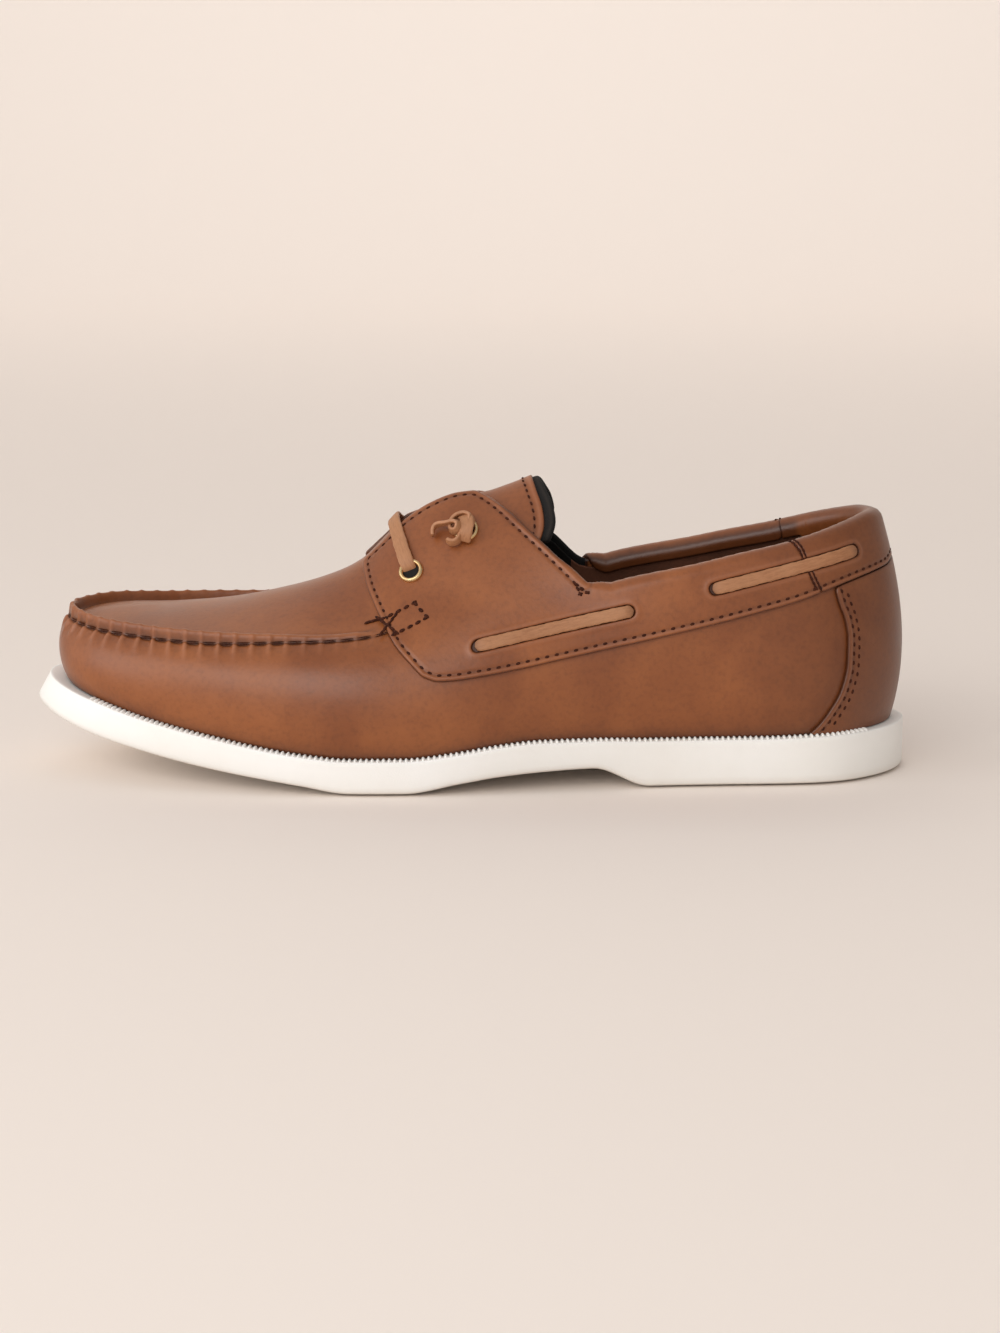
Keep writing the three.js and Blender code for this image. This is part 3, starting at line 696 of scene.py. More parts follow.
RIDGE_STEPS = np.array([
    -5.2, -3.8, -2.8, -2.0, -1.4, -0.95, -0.6, -0.35, -0.15, 0.05, 0.2, 0.4, 0.75, 1.2, 1.65, 2.0,
    2.25, 2.4, 2.55, 2.75, 3.1, 3.8, 4.6, 5.5])
RIDGE_LIFT = np.array([  # distance past the shoulder, share of the ridge's height
    (-0.6, 0), (-0.15, 0.1), (0.05, 0.42), (0.2, 0.7), (0.4, 0.88), (0.75, 0.98), (1.2, 1),
    (1.65, 0.95), (2.0, 0.82), (2.25, 0.58), (2.4, 0.36), (2.55, 0.16), (2.75, 0.03), (3.1, -0.03),
    (4.6, 0),
])


def ridge_and_gathers(u, x, past):
    """Lift along Z and swelling along the surface, past the shoulder by so many millimetres."""
    phase = gather_phase(u)
    between = np.abs(phase - np.floor(phase) - 0.5)
    swell = 1.15 * hump(between, 0.17) - 0.36
    vary = 0.8 + 0.2 * np.sin(2.4 * np.floor(phase + 0.5) + 1)
    strength = (0.22 + 0.78 * (1 - smooth((x + 78) / 42))) * (1 - smooth((x + 36) / 9)) * vary
    wall = np.where(past < -0.2, hump(past + 1.4, 3.0), hump(past + 0.2, 0.7))
    fade = (1 - 0.68 * smooth((x + 98) / 60)) * (1 - smooth((x + 38) / 7))
    groove = -0.4 * hump(past + 0.45, 0.45) * (1 - smooth((x + 34) / 6))
    lift = np.interp(past, *RIDGE_LIFT.T) * RIDGE * fade * (1 + 0.09 * swell * strength)
    behind = -0.5 * hump(past - 3.2, 0.8) * fade
    return lift + behind, GATHER_LIFT * swell * strength * wall + groove


def upper_columns():
    """u of the hull's columns: close together at the toe and the throat."""
    stops = [0, float(crossing(THROAT_FRONT)), float(crossing(THROAT_FRONT + 11)), LAST_ROW]
    marks = np.interp(stops, U_TABLE, LENGTH)
    lengths = [np.array([0.0])]
    for a, b, step in zip(marks, marks[1:], (TOE_STEP, THROAT_STEP, SIDE_STEP)):
        lengths.append(np.linspace(a, b, round((b - a) / step) + 1)[1:])
    down = np.interp(np.concatenate(lengths), LENGTH[:HALF_TABLE], U_TABLE[:HALF_TABLE])
    return np.concatenate([down, LOOP - down[-2:0:-1]])


def build_upper():
    """Rows of points up the outside, over the rim and down the inside, closed under the foot."""
    u = upper_columns()
    n = len(u)
    x = section_x(u)
    shoulder = girth_of(u, np.ones_like(u))
    whole = x < THROAT_FRONT + 0.01
    end = np.where(whole, girth_of(u, np.full(n, 2.0)), edge_girth(u))
    below = np.linspace(0, 1, 24)[:, None] * (shoulder - 7)
    beyond = shoulder + 5.5 + np.linspace(0, 1, 22)[1:, None] * (end - shoulder - 5.5)
    sewn = np.concatenate([below, shoulder + RIDGE_STEPS[:, None], beyond])
    even = np.linspace(0, 1, len(sewn))[:, None] * end
    share = smooth((x + 38) / 16)
    girths = sewn * (1 - share) + even * share
    rows = len(girths)
    us = np.tile(u, rows)
    flat = girths.ravel()
    s = s_of(us, flat)
    outer, outs, _ = last(us, s)
    past = flat - np.tile(shoulder, rows)
    lift, swell = ridge_and_gathers(us, np.tile(x, rows), past)
    outer = outer + outs * swell[:, None]
    outer[:, 2] += lift
    seam_zone = 1 - smooth((np.tile(x, rows) + 34) / 6)
    # Painted light: shade at the join with the sole, in the grooves beside the hand-sewn ridge and in the
    # dips between stitches; painted highlight on the ridge's top and on the swellings between stitches.
    foot = np.exp(-flat / 2.2)
    groove = (hump(past + 0.35, 0.55) + 0.75 * hump(past - 2.9, 0.7)) * seam_zone
    paler_and_highlight = hump(past - 1.0, 0.8) * seam_zone * 0.25
    burnish_and_painted_light = np.clip(0.75 * foot + 0.6 * groove - paler_and_highlight - 0.6 * np.maximum(swell, 0) * seam_zone
                      - 0.3 * np.minimum(swell, 0) * seam_zone, -1, 1)

    # The rim, over the roll and a little way down inside, for the columns that are cut.
    cut = np.flatnonzero(x > THROAT_FRONT - 0.01)
    half_turn = math.pi * edge_radius(u[cut])
    rim_girths = [end[cut] + share * half_turn for share in (0.16, 0.33, 0.5, 0.67, 0.84, 1.0)]
    tuck = smooth((x - THROAT_FRONT) / 4)
    rim_girths += [end[cut] + half_turn + down * tuck[cut] for down in (1.5, 3.0)]
    rims = [skin(u[cut], girth, 0.0)[0] for girth in rim_girths]

    # The inside, from the rim down to the sole.
    inner_rows = 14
    rolled = 2 * edge_radius(u)
    rim_depth = THICK + (rolled - THICK) * smooth(1 + (x - THROAT_FRONT) / 6)
    start = end - 3.0 * tuck
    inner = []
    for k in range(inner_rows):
        g = start * (1 - k / (inner_rows - 1))
        p, o, _ = last(u, s_of(u, g))
        inner.append(p - o * (THICK + (rim_depth - THICK) * np.exp((g - start) / 9))[:, None])
    points = np.concatenate([outer] + rims + inner)
    bound = np.where(x < BACKED_TO, BACKED, -0.12)[cut]
    burnish_and_painted_light = np.concatenate([burnish_and_painted_light, np.full(len(cut) * 2, -0.12), np.tile(bound, len(rims) - 2),
                              np.tile(np.where(x < BACKED_TO, BACKED, 0.2), inner_rows)])
    top, rim_start, m = (rows - 1) * n, rows * n, len(cut)
    low = rim_start + (len(rims) - 1) * m
    inner_start = low + m
    faces = strip_faces(rows, n) + strip_faces(len(rims), m, rim_start, closed=False)
    faces += strip_faces(inner_rows, n, inner_start)
    faces += band_faces(inner_start + (inner_rows - 1) * n, 0, n)
    for i in range(m - 1):
        faces.append((top + cut[i], top + cut[i + 1], rim_start + i + 1, rim_start + i))
        faces.append((low + i, low + i + 1, inner_start + cut[i + 1], inner_start + cut[i]))
    hull = finished("upper_hull", points, faces, leather, burnish_and_painted_light)
    hull.data.materials.append(backing)
    dark = np.zeros(len(hull.data.vertices), np.float32)
    hull.data.attributes["burnish_and_painted_light"].data.foreach_get("value", dark)
    for face in hull.data.polygons:
        if dark[list(face.vertices)].min() > BACKED - 0.5:
            face.material_index = 1
    return hull


stands_for(build_upper(), "leather", "upper")

# ---- Lining and insole ---------------------------------------------------------------------------
# Thin dark brown lining leather, glued inside the quarters and closed at the collar by the turned
# rim. It is nearly black cloth in the forepart. The sock is a padded leather sheet on the floor.

WALL, INSOLE = 2.2, 3.0      # the upper's thickness at the sole, and the insole's
CLOTH_TO = 36.0              # the lining is cloth ahead of this x


def build_lining():
    """One open sheet from the collar's inside to the floor, thickened inwards."""
    rows, columns = 26, 300
    u = np.arange(columns) / columns * LOOP
    cut = section_x(u) > THROAT_FRONT - 0.01
    top = edge_girth(u) - np.where(cut, 1.6, 0)
    points = []
    for share in 1 - np.linspace(0, 1, rows) ** 1.4:
        girth = top * share
        p, o, _ = last(u, s_of(u, girth))
        near = np.where(cut, np.exp(-(top - girth) / 9.0), 0)
        points.append(p - o * (1.45 + (2 * edge_radius(u) - 1.25) * near)[:, None])
    faces = strip_faces(rows, columns)
    sheet = finished("quarter_lining", np.concatenate(points), faces, lining)
    sheet.data.materials.append(backing)
    for face in sheet.data.polygons:
        if face.center.x < CLOTH_TO * MM:
            face.material_index = 1
    wall = sheet.modifiers.new("thickness", "SOLIDIFY")
    wall.thickness = 0.0006
    wall.offset = 1
    return sheet


def build_insole():
    """A flat sheet with rounded edges, hollowed a little under the heel and the ball of the foot."""
    u = np.linspace(0, LOOP, 361)[:-1]
    edge, spine, inward, _ = station(u)
    start = edge + inward * (welt(u) + WALL + 0.2)[:, None]
    rows, columns = [], len(u)

    def ring(share, rise, shrink=0.0):
        plan = (start + inward * shrink) * (1 - share) + spine * share
        return np.concatenate([plan, (sole_top(plan[:, 0]) + rise)[:, None]], 1)

    top = GAP + INSOLE
    for share, rise, shrink in ((1, GAP, 0), (0.5, GAP, 0), (0, GAP, 0.3), (0, GAP + 0.6, 0),
                                (0, top - 0.6, 0), (0, top - 0.15, 0.2), (0, top, 0.7)):
        rows.append(ring(share, rise, shrink))
    wear_and_painted_light = [0.0] * len(rows)
    # Darker near the edge: painted shade where the sock meets the upper's wall. The paler middle is the
    # sock's own lighter tone.
    for share, paler in ((0.03, 0.5), (0.07, 0.3), (0.11, 0.05), (0.16, -0.1), (0.25, -0.2),
                         (0.36, -0.3), (0.5, -0.35), (0.65, -0.4), (0.8, -0.4), (0.9, -0.35),
                         (1, -0.3)):
        bed = ring(share, top)
        heel_cup = -0.9 * np.exp(-(((bed[:, 0] - 103) / 26) ** 2 + (bed[:, 1] / 17) ** 2))
        ball = -0.7 * np.exp(-(((bed[:, 0] + 40) / 30) ** 2 + (bed[:, 1] / 26) ** 2))
        bed[:, 2] += heel_cup + ball
        rows.append(bed)
        wear_and_painted_light.append(paler)
    return finished("insole_sock", np.concatenate(rows), strip_faces(len(rows), columns), lining,
                    np.repeat(wear_and_painted_light, columns))


stands_for(build_lining(), "lining")
insole = stands_for(build_insole(), "lining", "insole")

# ---- Stitching -----------------------------------------------------------------------------------
# Dark brown waxed thread, partly painted shade for the stitch holes. Each stitch is a short tight
# bead of thread that sinks into the leather at both ends, set along a marked line.

# The dark colour is partly the thread's own and partly painted shade standing for the sunk stitch holes.
thread, thread_tree, thread_shader = plain_material("waxed_thread", (52, 24, 13), 0.75)
thread_shader.inputs["Specular IOR Level"].default_value = 0.15
twist = noise(thread_tree, on_piece(thread_tree), 1500.0, 3.0)
surface(thread_tree, thread_shader, twist, 0.6, 0.0001,
        mix(thread_tree, ramp(thread_tree, twist, 0.35, 0.7), (46, 20, 11), (82, 40, 23)))


def bead_tree(name, segments, rings):
    """Beads along a marked line: long along it, standing on the surface that "out" points from."""
    tree = bpy.data.node_groups.new(name, "GeometryNodeTree")
    face = tree.interface
    face.new_socket("Line", in_out="INPUT", socket_type="NodeSocketGeometry")
    face.new_socket("Count", in_out="INPUT", socket_type="NodeSocketInt")
    for size in ("Length", "Width", "Height", "Slant"):
        face.new_socket(size, in_out="INPUT", socket_type="NodeSocketFloat")
    face.new_socket("Finish", in_out="INPUT", socket_type="NodeSocketMaterial")
    face.new_socket("Beads", in_out="OUTPUT", socket_type="NodeSocketGeometry")
    given, result = node(tree, "NodeGroupInput"), node(tree, "NodeGroupOutput")
    line = node(tree, "GeometryNodeMeshToCurve", {"Mesh": given.outputs["Line"]})
    spots = node(tree, "GeometryNodeResampleCurve", {"Curve": line.outputs["Curve"],
                                                     "Count": given.outputs["Count"]}, mode="COUNT")
    ball = node(tree, "GeometryNodeMeshUVSphere", {"Segments": segments, "Rings": rings, "Radius": 0.5})
    size = node(tree, "ShaderNodeCombineXYZ", {"X": given.outputs["Length"],
                                               "Y": given.outputs["Width"],
                                               "Z": given.outputs["Height"]})
    bead = node(tree, "GeometryNodeTransform", {"Geometry": ball.outputs["Mesh"],
                                                "Scale": size.outputs["Vector"]})
    tangent = node(tree, "GeometryNodeInputTangent")
    out = node(tree, "GeometryNodeInputNamedAttribute", {"Name": "out"}, data_type="FLOAT_VECTOR")
    ahead = node(tree, "FunctionNodeAlignRotationToVector", {"Vector": tangent.outputs["Tangent"]},
                 axis="X")
    stood = node(tree, "FunctionNodeAlignRotationToVector", {
        "Rotation": ahead.outputs["Rotation"], "Vector": out.outputs["Attribute"]},
        axis="Z", pivot_axis="X")
    slant = node(tree, "FunctionNodeAxisAngleToRotation", {"Axis": (0, 0, 1),
                                                           "Angle": given.outputs["Slant"]})
    turned = node(tree, "FunctionNodeRotateRotation", {
        "Rotation": stood.outputs["Rotation"], "Rotate By": slant.outputs["Rotation"]},
        rotation_space="LOCAL")
    beads = node(tree, "GeometryNodeInstanceOnPoints", {
        "Points": spots.outputs["Curve"], "Instance": bead.outputs["Geometry"],
        "Rotation": turned.outputs["Rotation"]})
    real = node(tree, "GeometryNodeRealizeInstances", {"Geometry": beads.outputs["Instances"]})
    finish = node(tree, "GeometryNodeSetMaterial", {"Geometry": real.outputs["Geometry"],
                                                    "Material": given.outputs["Finish"]})
    tree.links.new(finish.outputs["Geometry"], result.inputs["Beads"])
    return tree


STITCH_TREE = bead_tree("stitches", 8, 7)


def beads_along(tree, points, outs, values):
    """The plain mesh of one line of beads. Points in millimetres."""
    mesh = bpy.data.meshes.new("line")
    mesh.from_pydata([tuple(p) for p in np.asarray(points) * MM],
                     [(i, i + 1) for i in range(len(points) - 1)], [])
    mark(mesh, "out", outs)
    line = bpy.data.objects.new("line", mesh)
    bpy.context.scene.collection.objects.link(line)
    beads = line.modifiers.new("beads", "NODES")
    beads.node_group = tree
    for item in tree.interface.items_tree:
        if item.in_out == "INPUT" and item.name in values:
            beads[item.identifier] = values[item.name]
    made = bpy.data.meshes.new_from_object(line.evaluated_get(bpy.context.evaluated_depsgraph_get()))
    line.modifiers.clear()
    bpy.data.objects.remove(line)
    return made


def joined(name, meshes, material):
    """Many small meshes made one piece."""
    work = bmesh.new()
    for mesh in meshes:
        work.from_mesh(mesh)
    whole = bpy.data.meshes.new(name)
    work.to_mesh(whole)
    work.free()
    whole.materials.append(material)
    whole.polygons.foreach_set("use_smooth", [True] * len(whole.polygons))
    whole.polygons.foreach_set("material_index", [0] * len(whole.polygons))
    whole.update()
    made = bpy.data.objects.new(name, whole)
    bpy.context.scene.collection.objects.link(made)
    return made


def line_length(points):
    return float(np.linalg.norm(np.diff(points, axis=0), axis=1).sum())


def stitch_line(points, outs, pitch=3.4, length=2.1, width=0.75, height=0.7, slant=0.12,
                count=None):
    """One row of stitches, by their pitch or by their count."""
    count = count or max(2, round(line_length(points) / pitch) + 1)
    return beads_along(STITCH_TREE, points, outs, {
        "Count": count, "Length": length * MM, "Width": width * MM, "Height": height * MM,
        "Slant": slant, "Finish": thread})


def moc_stitches():
    """Two strands side by side at each stitch of the hand-sewn seam, in the groove."""
    u = np.linspace(-moc_end_u, moc_end_u, 900) % LOOP
    shoulder = girth_of(u, np.ones_like(u))
    meshes = []
    for past, slant, lift in ((-0.5, 0.09, 0.1), (-0.08, 0.04, 0.42)):
        points, outs, _ = last(u, s_of(u, shoulder + past))
        points = points + outs * lift
        meshes.append(stitch_line(points, outs, length=4.7, width=0.3, height=0.38, slant=slant,
                                  count=MOC_STITCHES + 1))
    return joined("moc_seam_thread", meshes, thread)


stands_for(moc_stitches(), "leather")

# ---- Overlays: saddles, heel band and counter ----------------------------------------------------
# Flat pieces of the same leather, cut to a pattern, their edges turned and sewn down with a row of
# stitches. The saddles carry the eyelets and run back as a collar band, which the heel band
# closes, and both wrap over the padded rim. The counter covers the back seam below the band.

OVERLAY = 1.3                # thickness of the leather
BAND_BOTTOM = np.array([  # x, z
    (-13.4, 38), (-6.3, 38.2), (3.5, 39.4), (16.7, 41.6), (29.8, 44.2), (43, 46.9), (56.2, 49.6),
    (69.5, 52.5), (82.7, 55.5), (96, 58.8), (109, 62.2), (124, 67.2), (131, 69.1), (141, 71.4),
])
SADDLE_FRONT = np.array([  # z, x
    (38.6, -15), (43.6, -20), (47.8, -24), (52, -27), (56.2, -29.6), (60.3, -31.9), (64.4, -34),
    (68.5, -35.3), (71.6, -35.8), (74.4, -35.3), (79, -33.2), (84, -30.6), (90, -27), (110, -20),
])
WING_BACK = np.array([  # x, z
    (-6, 98.6), (-2, 97.4), (1, 96.3), (4.6, 94.9), (8.9, 92.7), (12.4, 90.3), (16.4, 87),
    (22.2, 82.2), (28, 77.2), (33.8, 72), (39.6, 66.6),
])
COUNTER_FRONT = np.array([  # z, x
    (17, 113.2), (19.8, 116.2), (24.9, 120.1), (32.1, 124.1), (40.5, 126), (48.8, 126.2),
    (55.4, 125.1), (60.8, 123), (66.2, 121.4),
])
BAND_JOINT = np.array([(117, 64.8), (109.4, 81.4)])  # x, z: where a saddle meets the heel band
FACING_HALF = np.array([(-30, 7.2), (-19, 6.6), (-5, 5.9), (3, 5.9)])  # x, half of their gap
SADDLE_TUCK, HEEL_TUCK = 2.2, 17.0  # how far the bands run on down inside the collar
EDGE_ROUND, STITCH_INSET, LACE_WIDTH = 0.55, 1.9, 4.3
SLOTS = {  # the ends of each stretch of lace that shows, as x, z
    "front": ((0.6, 48.6), (54.7, 60.0)), "rear": ((79.0, 66.2), (129.8, 77.9)),
}
TACKS = (  # square and cross at the toe seam's end, and the wing's arrow: pitch, length, ends
    (2.7, 2.3, ((-28.8, 56.2), (-18.3, 61.3))), (2.7, 2.3, ((-17.9, 61.0), (-14.1, 57.5))),
    (2.7, 2.3, ((-14.4, 57.0), (-24.8, 52.2))), (2.2, 2.9, ((-29.0, 52.4), (-24.4, 57.6))),
    (2.2, 2.9, ((-30.2, 56.4), (-24.2, 52.8))), (1.9, 1.9, ((34.9, 68.2), (36.6, 65.0))),
    (1.9, 1.9, ((36.6, 65.0), (38.9, 65.5))), (1.9, 1.9, ((38.9, 65.5), (35.4, 68.0))),
)
SEAM_AHEAD = np.array([(-33.6, 54.9), (-28.4, 56.3)])  # the last stitches ahead of the saddle
RINGS = (  # how far inside an outline more points lie, for its rounded edge and its stitching
    0.1, 0.25, 0.5, 0.85, 1.3, 1.8, 2.3, 2.8, 3.5)

bottom_z = row_curve(BAND_BOTTOM[:, 0], BAND_BOTTOM[:, 1])
front_x = row_curve(SADDLE_FRONT[:, 0], SADDLE_FRONT[:, 1])
wing_z = row_curve(WING_BACK[:, 0], WING_BACK[:, 1])
counter_x = row_curve(COUNTER_FRONT[:, 0], COUNTER_FRONT[:, 1])


def on_pattern(u, s):
    """A place of the last on the flat pattern: length along the loop, girth up from the sole."""
    return np.stack([length_at(u), girth_of(u, s)], 1)


def side_to_pattern(side, x, z, height=GAP + OVERLAY - 0.3):
    """Places whose leather, this high over the last, is seen at x and z from the side."""
    aim = np.stack([x, z], 1).astype(float)
    points, outs, _ = last(*on_side(side, *aim.T))
    seen = (points + outs * height)[:, [0, 2]]
    return on_pattern(*on_side(side, *(aim + (aim - seen)).T))


def from_pattern(places, height):
    return skin(u_at(places[:, 0]), places[:, 1], height)


def rim_places(u, tuck):
    """Places on the rim of the collar, past the roll and so far down inside."""
    return np.stack([length_at(u), edge_girth(u) + math.pi * edge_radius(u) + tuck], 1)


def distances(places, line, closed=True):
    """Distance of each place from a line of many short sides."""
    starts = line if closed else line[:-1]
    ends = np.roll(line, -1, 0) if closed else line[1:]
    sides = ends - starts
    lengths = np.maximum((sides**2).sum(1), 1e-12)
    best = np.empty(len(places))
    for k in range(0, len(places), 1500):
        away = places[k:k + 1500, None, :] - starts[None]
        share = np.clip((away * sides).sum(-1) / lengths, 0, 1)
        best[k:k + 1500] = np.sqrt(((away - share[..., None] * sides) ** 2).sum(-1)).min(1)
    return best


def inside(places, loop):
    """Whether each place lies inside a closed line."""
    ends = np.roll(loop, -1, 0)
    found = np.zeros(len(places), bool)
    for k in range(0, len(places), 1500):
        x, y = places[k:k + 1500, 0][:, None], places[k:k + 1500, 1][:, None]
        crosses = (loop[:, 1] > y) != (ends[:, 1] > y)
        rise = np.where(ends[:, 1] == loop[:, 1], 1, ends[:, 1] - loop[:, 1])
        at = loop[:, 0] + (y - loop[:, 1]) / rise * (ends[:, 0] - loop[:, 0])
        found[k:k + 1500] = (crosses & (x < at)).sum(1) % 2 == 1
    return found


def even_line(points, step, closed=False):
    """The same line with evenly spaced points."""
    if closed:
        points = np.concatenate([points, points[:1]])
    run = run_along(points)
    marks = np.linspace(0, run[-1], max(2, round(run[-1] / step)) + 1)
    line = np.stack([np.interp(marks, run, points[:, k]) for k in range(points.shape[1])], 1)
    return line[:-1] if closed else line


def across(ahead):
    """The directions square to these on the pattern, to their left."""
    return np.stack([-ahead[:, 1], ahead[:, 0]], 1)


def beside(loop, inset):
    """The outline moved inwards by this much, or outwards if it is below zero."""
    ahead = unit(np.roll(loop, -1, 0) - np.roll(loop, 1, 0))
    area = np.sum(loop[:, 0] * np.roll(loop[:, 1], -1) - np.roll(loop[:, 0], -1) * loop[:, 1])
    return loop + across(ahead) * np.sign(area) * inset


def inset_line(loop, inset):
    """Points that lie inside the outline at this distance."""
    moved = beside(loop, inset)
    return moved[distances(moved, loop) > inset * 0.97]


def soften(line, radius, rounds=10):
    """Rounds the corners of an evenly spaced outline a little."""
    for _ in range(rounds):
        bend = np.roll(line, 1, 0) + np.roll(line, -1, 0) - 2 * line
        line = line + radius / rounds * 0.25 * bend
    return line


def slot_loop(side, name):
    """The outline of one lace slot on the pattern."""
    middle = side_to_pattern(side, *np.linspace(*SLOTS[name], 24).T)
    half = LACE_WIDTH / 2 + 0.15
    run = run_along(middle)
    keep = (run > half) & (run < run[-1] - half)
    ahead = unit(np.gradient(middle, axis=0))
    aside = across(ahead) * half
    turn = np.linspace(0, math.pi, 11)[1:-1, None]
    start, stop = middle[0] + ahead[0] * half, middle[-1] - ahead[-1] * half
    return even_line(np.concatenate([
        (middle - aside)[keep], stop - np.cos(turn) * aside[-1] + np.sin(turn) * ahead[-1] * half,
        (middle + aside)[keep][::-1], start + np.cos(turn) * aside[0] - np.sin(turn) * ahead[0] * half,
    ]), 0.6, closed=True)


def cut_places(outline, slots, step):
    """Places to build a leather piece from: its outline, rings inside it and round its slots, and
    an even grid between them."""
    low, far = outline.min(0), outline.max(0)
    nx, ny = np.ceil((far - low) / (step, step * 0.866)).astype(int)
    rows, columns = np.mgrid[0:ny + 1, 0:nx + 1]
    grid = np.stack([low[0] + (columns + 0.5 * (rows % 2)) * step, low[1] + rows * step * 0.866], -1)
    grid = grid.reshape(-1, 2)
    grid = grid[inside(grid, outline)]
    grid = grid[distances(grid, outline) > RINGS[-1] + 0.5]
    places = [outline] + [inset_line(outline, ring) for ring in RINGS]
    for slot in slots:
        for ring in (0.9, 0.55, 0.3, 0.12, 0, -0.15, -0.35, -0.7, -1.2, -1.8):
            line = beside(slot, ring)
            line = line[inside(line, outline)]
            places.append(line[distances(line, outline) > 0.3])
        grid = grid[distances(grid, slot) > 2.0]
    return np.concatenate(places + [grid])


def panel(name, outline, sewn, slots=(), step=1.15, soft=3.0, seams=()):
    """A piece of leather cut to an outline on the pattern and laid over the upper. Its edge is
    sewn down along the line sewn, and seams are further grooves of thread."""
    outline = soften(even_line(outline, 0.75, closed=True), soft)
    places = cut_places(outline, slots, step)
    n = len(outline)
    made = delaunay_2d_cdt([tuple(p) for p in places], [(i, (i + 1) % n) for i in range(n)], [],
                           0, 1e-5)
    flat = np.array([tuple(v) for v in made[0]])
    triangles = np.array(made[2])
    triangles = triangles[inside(flat[triangles].mean(1), outline)]
    edge = distances(flat, outline)
    edge[[k for k, origins in enumerate(made[3]) if origins and min(origins) < n]] = 0
    curl = np.sqrt(np.clip(1 - (1 - np.clip(edge / EDGE_ROUND, 0, 1)) ** 2, 0, 1))
    height = GAP + OVERLAY - EDGE_ROUND * 0.9 * (1 - curl)
    hem = distances(flat, sewn, closed=False)
    trough = hump(hem - STITCH_INSET, 0.5)
    bead = hump(hem - 0.95, 0.55)
    height += 0.1 * bead - 0.28 * trough
    # The cut edge is darker in its own colour; the paler bead beside it is painted highlight, and the
    # darker stitch groove is painted shade.
    burnish_and_painted_light = 0.85 * np.exp(-edge / 0.3) - 0.26 * bead + 0.36 * trough

    # Inside the collar, ahead of the heel, a sunk line sets off the roll from the dark inside. The sunk
    # line is darkened with painted shade.
    u = u_at(flat[:, 0])
    turn = (flat[:, 1] - edge_girth(u)) / edge_radius(u)
    ahead_of_heel = smooth((np.abs(u - LAST_ROW) - 3.6) / 0.2)
    piping = hump(turn - 2.3, 0.34) * ahead_of_heel
    height -= 0.2 * piping
    burnish_and_painted_light += 0.3 * piping + 0.6 * smooth((turn - 2.05) / 0.5) * ahead_of_heel
    # Each seam's groove is also darkened with painted shade.
    for seam in seams:
        groove = hump(distances(flat, seam, closed=False), 0.4)
        height -= 0.35 * groove
        burnish_and_painted_light += 0.8 * groove
    # Each slot dips under its lace and is darkened inside and along its rim with painted shade; the
    # leather swells just outside it and is made paler there with painted highlight.
    for slot in slots:
        away = distances(flat, slot) * np.where(inside(flat, slot), -1, 1)
        height -= 0.85 * (1 - smooth((away + 0.28) / 0.36))
        height += 0.22 * hump(away - 0.8, 0.8) * (away > 0)
        burnish_and_painted_light += np.where(away < 0, 0.9, 0.5 * hump(away, 0.22))
        burnish_and_painted_light -= 0.2 * hump(away - 1.0, 0.6)
    top, under = (from_pattern(flat, rise)[0] for rise in (height, 0.08))
    count = len(flat)
    a, b, c = (flat[triangles[:, k]] for k in range(3))
    turned = (b - a)[:, 0] * (c - a)[:, 1] - (b - a)[:, 1] * (c - a)[:, 0] < 0
    triangles[turned] = triangles[turned][:, ::-1]
    sides = {(i, j) for t in triangles.tolist() for i, j in zip(t, t[1:] + t[:1])}
    faces = triangles.tolist() + (triangles[:, ::-1] + count).tolist()
    faces += [(j, i, i + count, j + count) for i, j in sides if (j, i) not in sides]
    # The underside is darkened with painted shade under the piece.
    wear_and_painted_light = np.concatenate([np.clip(burnish_and_painted_light, -1, 1), np.full(count, 0.5)])
    piece = finished(name, np.concatenate([top, under]), faces, leather, wear_and_painted_light)
    return mended(piece, face_outwards), outline


def row_of_stitches(flat, rise, **size):
    """A row of stitches along a line on the pattern, this high over the upper."""
    return stitch_line(*from_pattern(flat, rise), **size)


def sewing(sewn, outline, inset=STITCH_INSET, rise=OVERLAY + GAP - 0.24, **size):
    """The row of stitches that holds a piece down along the line sewn."""
    line = even_line(sewn, 0.5)
    aside = across(unit(np.gradient(line, axis=0))) * inset
    if inside(line + aside, outline).mean() < 0.5:
        aside = -aside
    moved = line + aside
    moved = moved[(distances(moved, outline) > inset * 0.96) & inside(moved, outline)]
    return row_of_stitches(even_line(moved, 0.5), rise, **size)


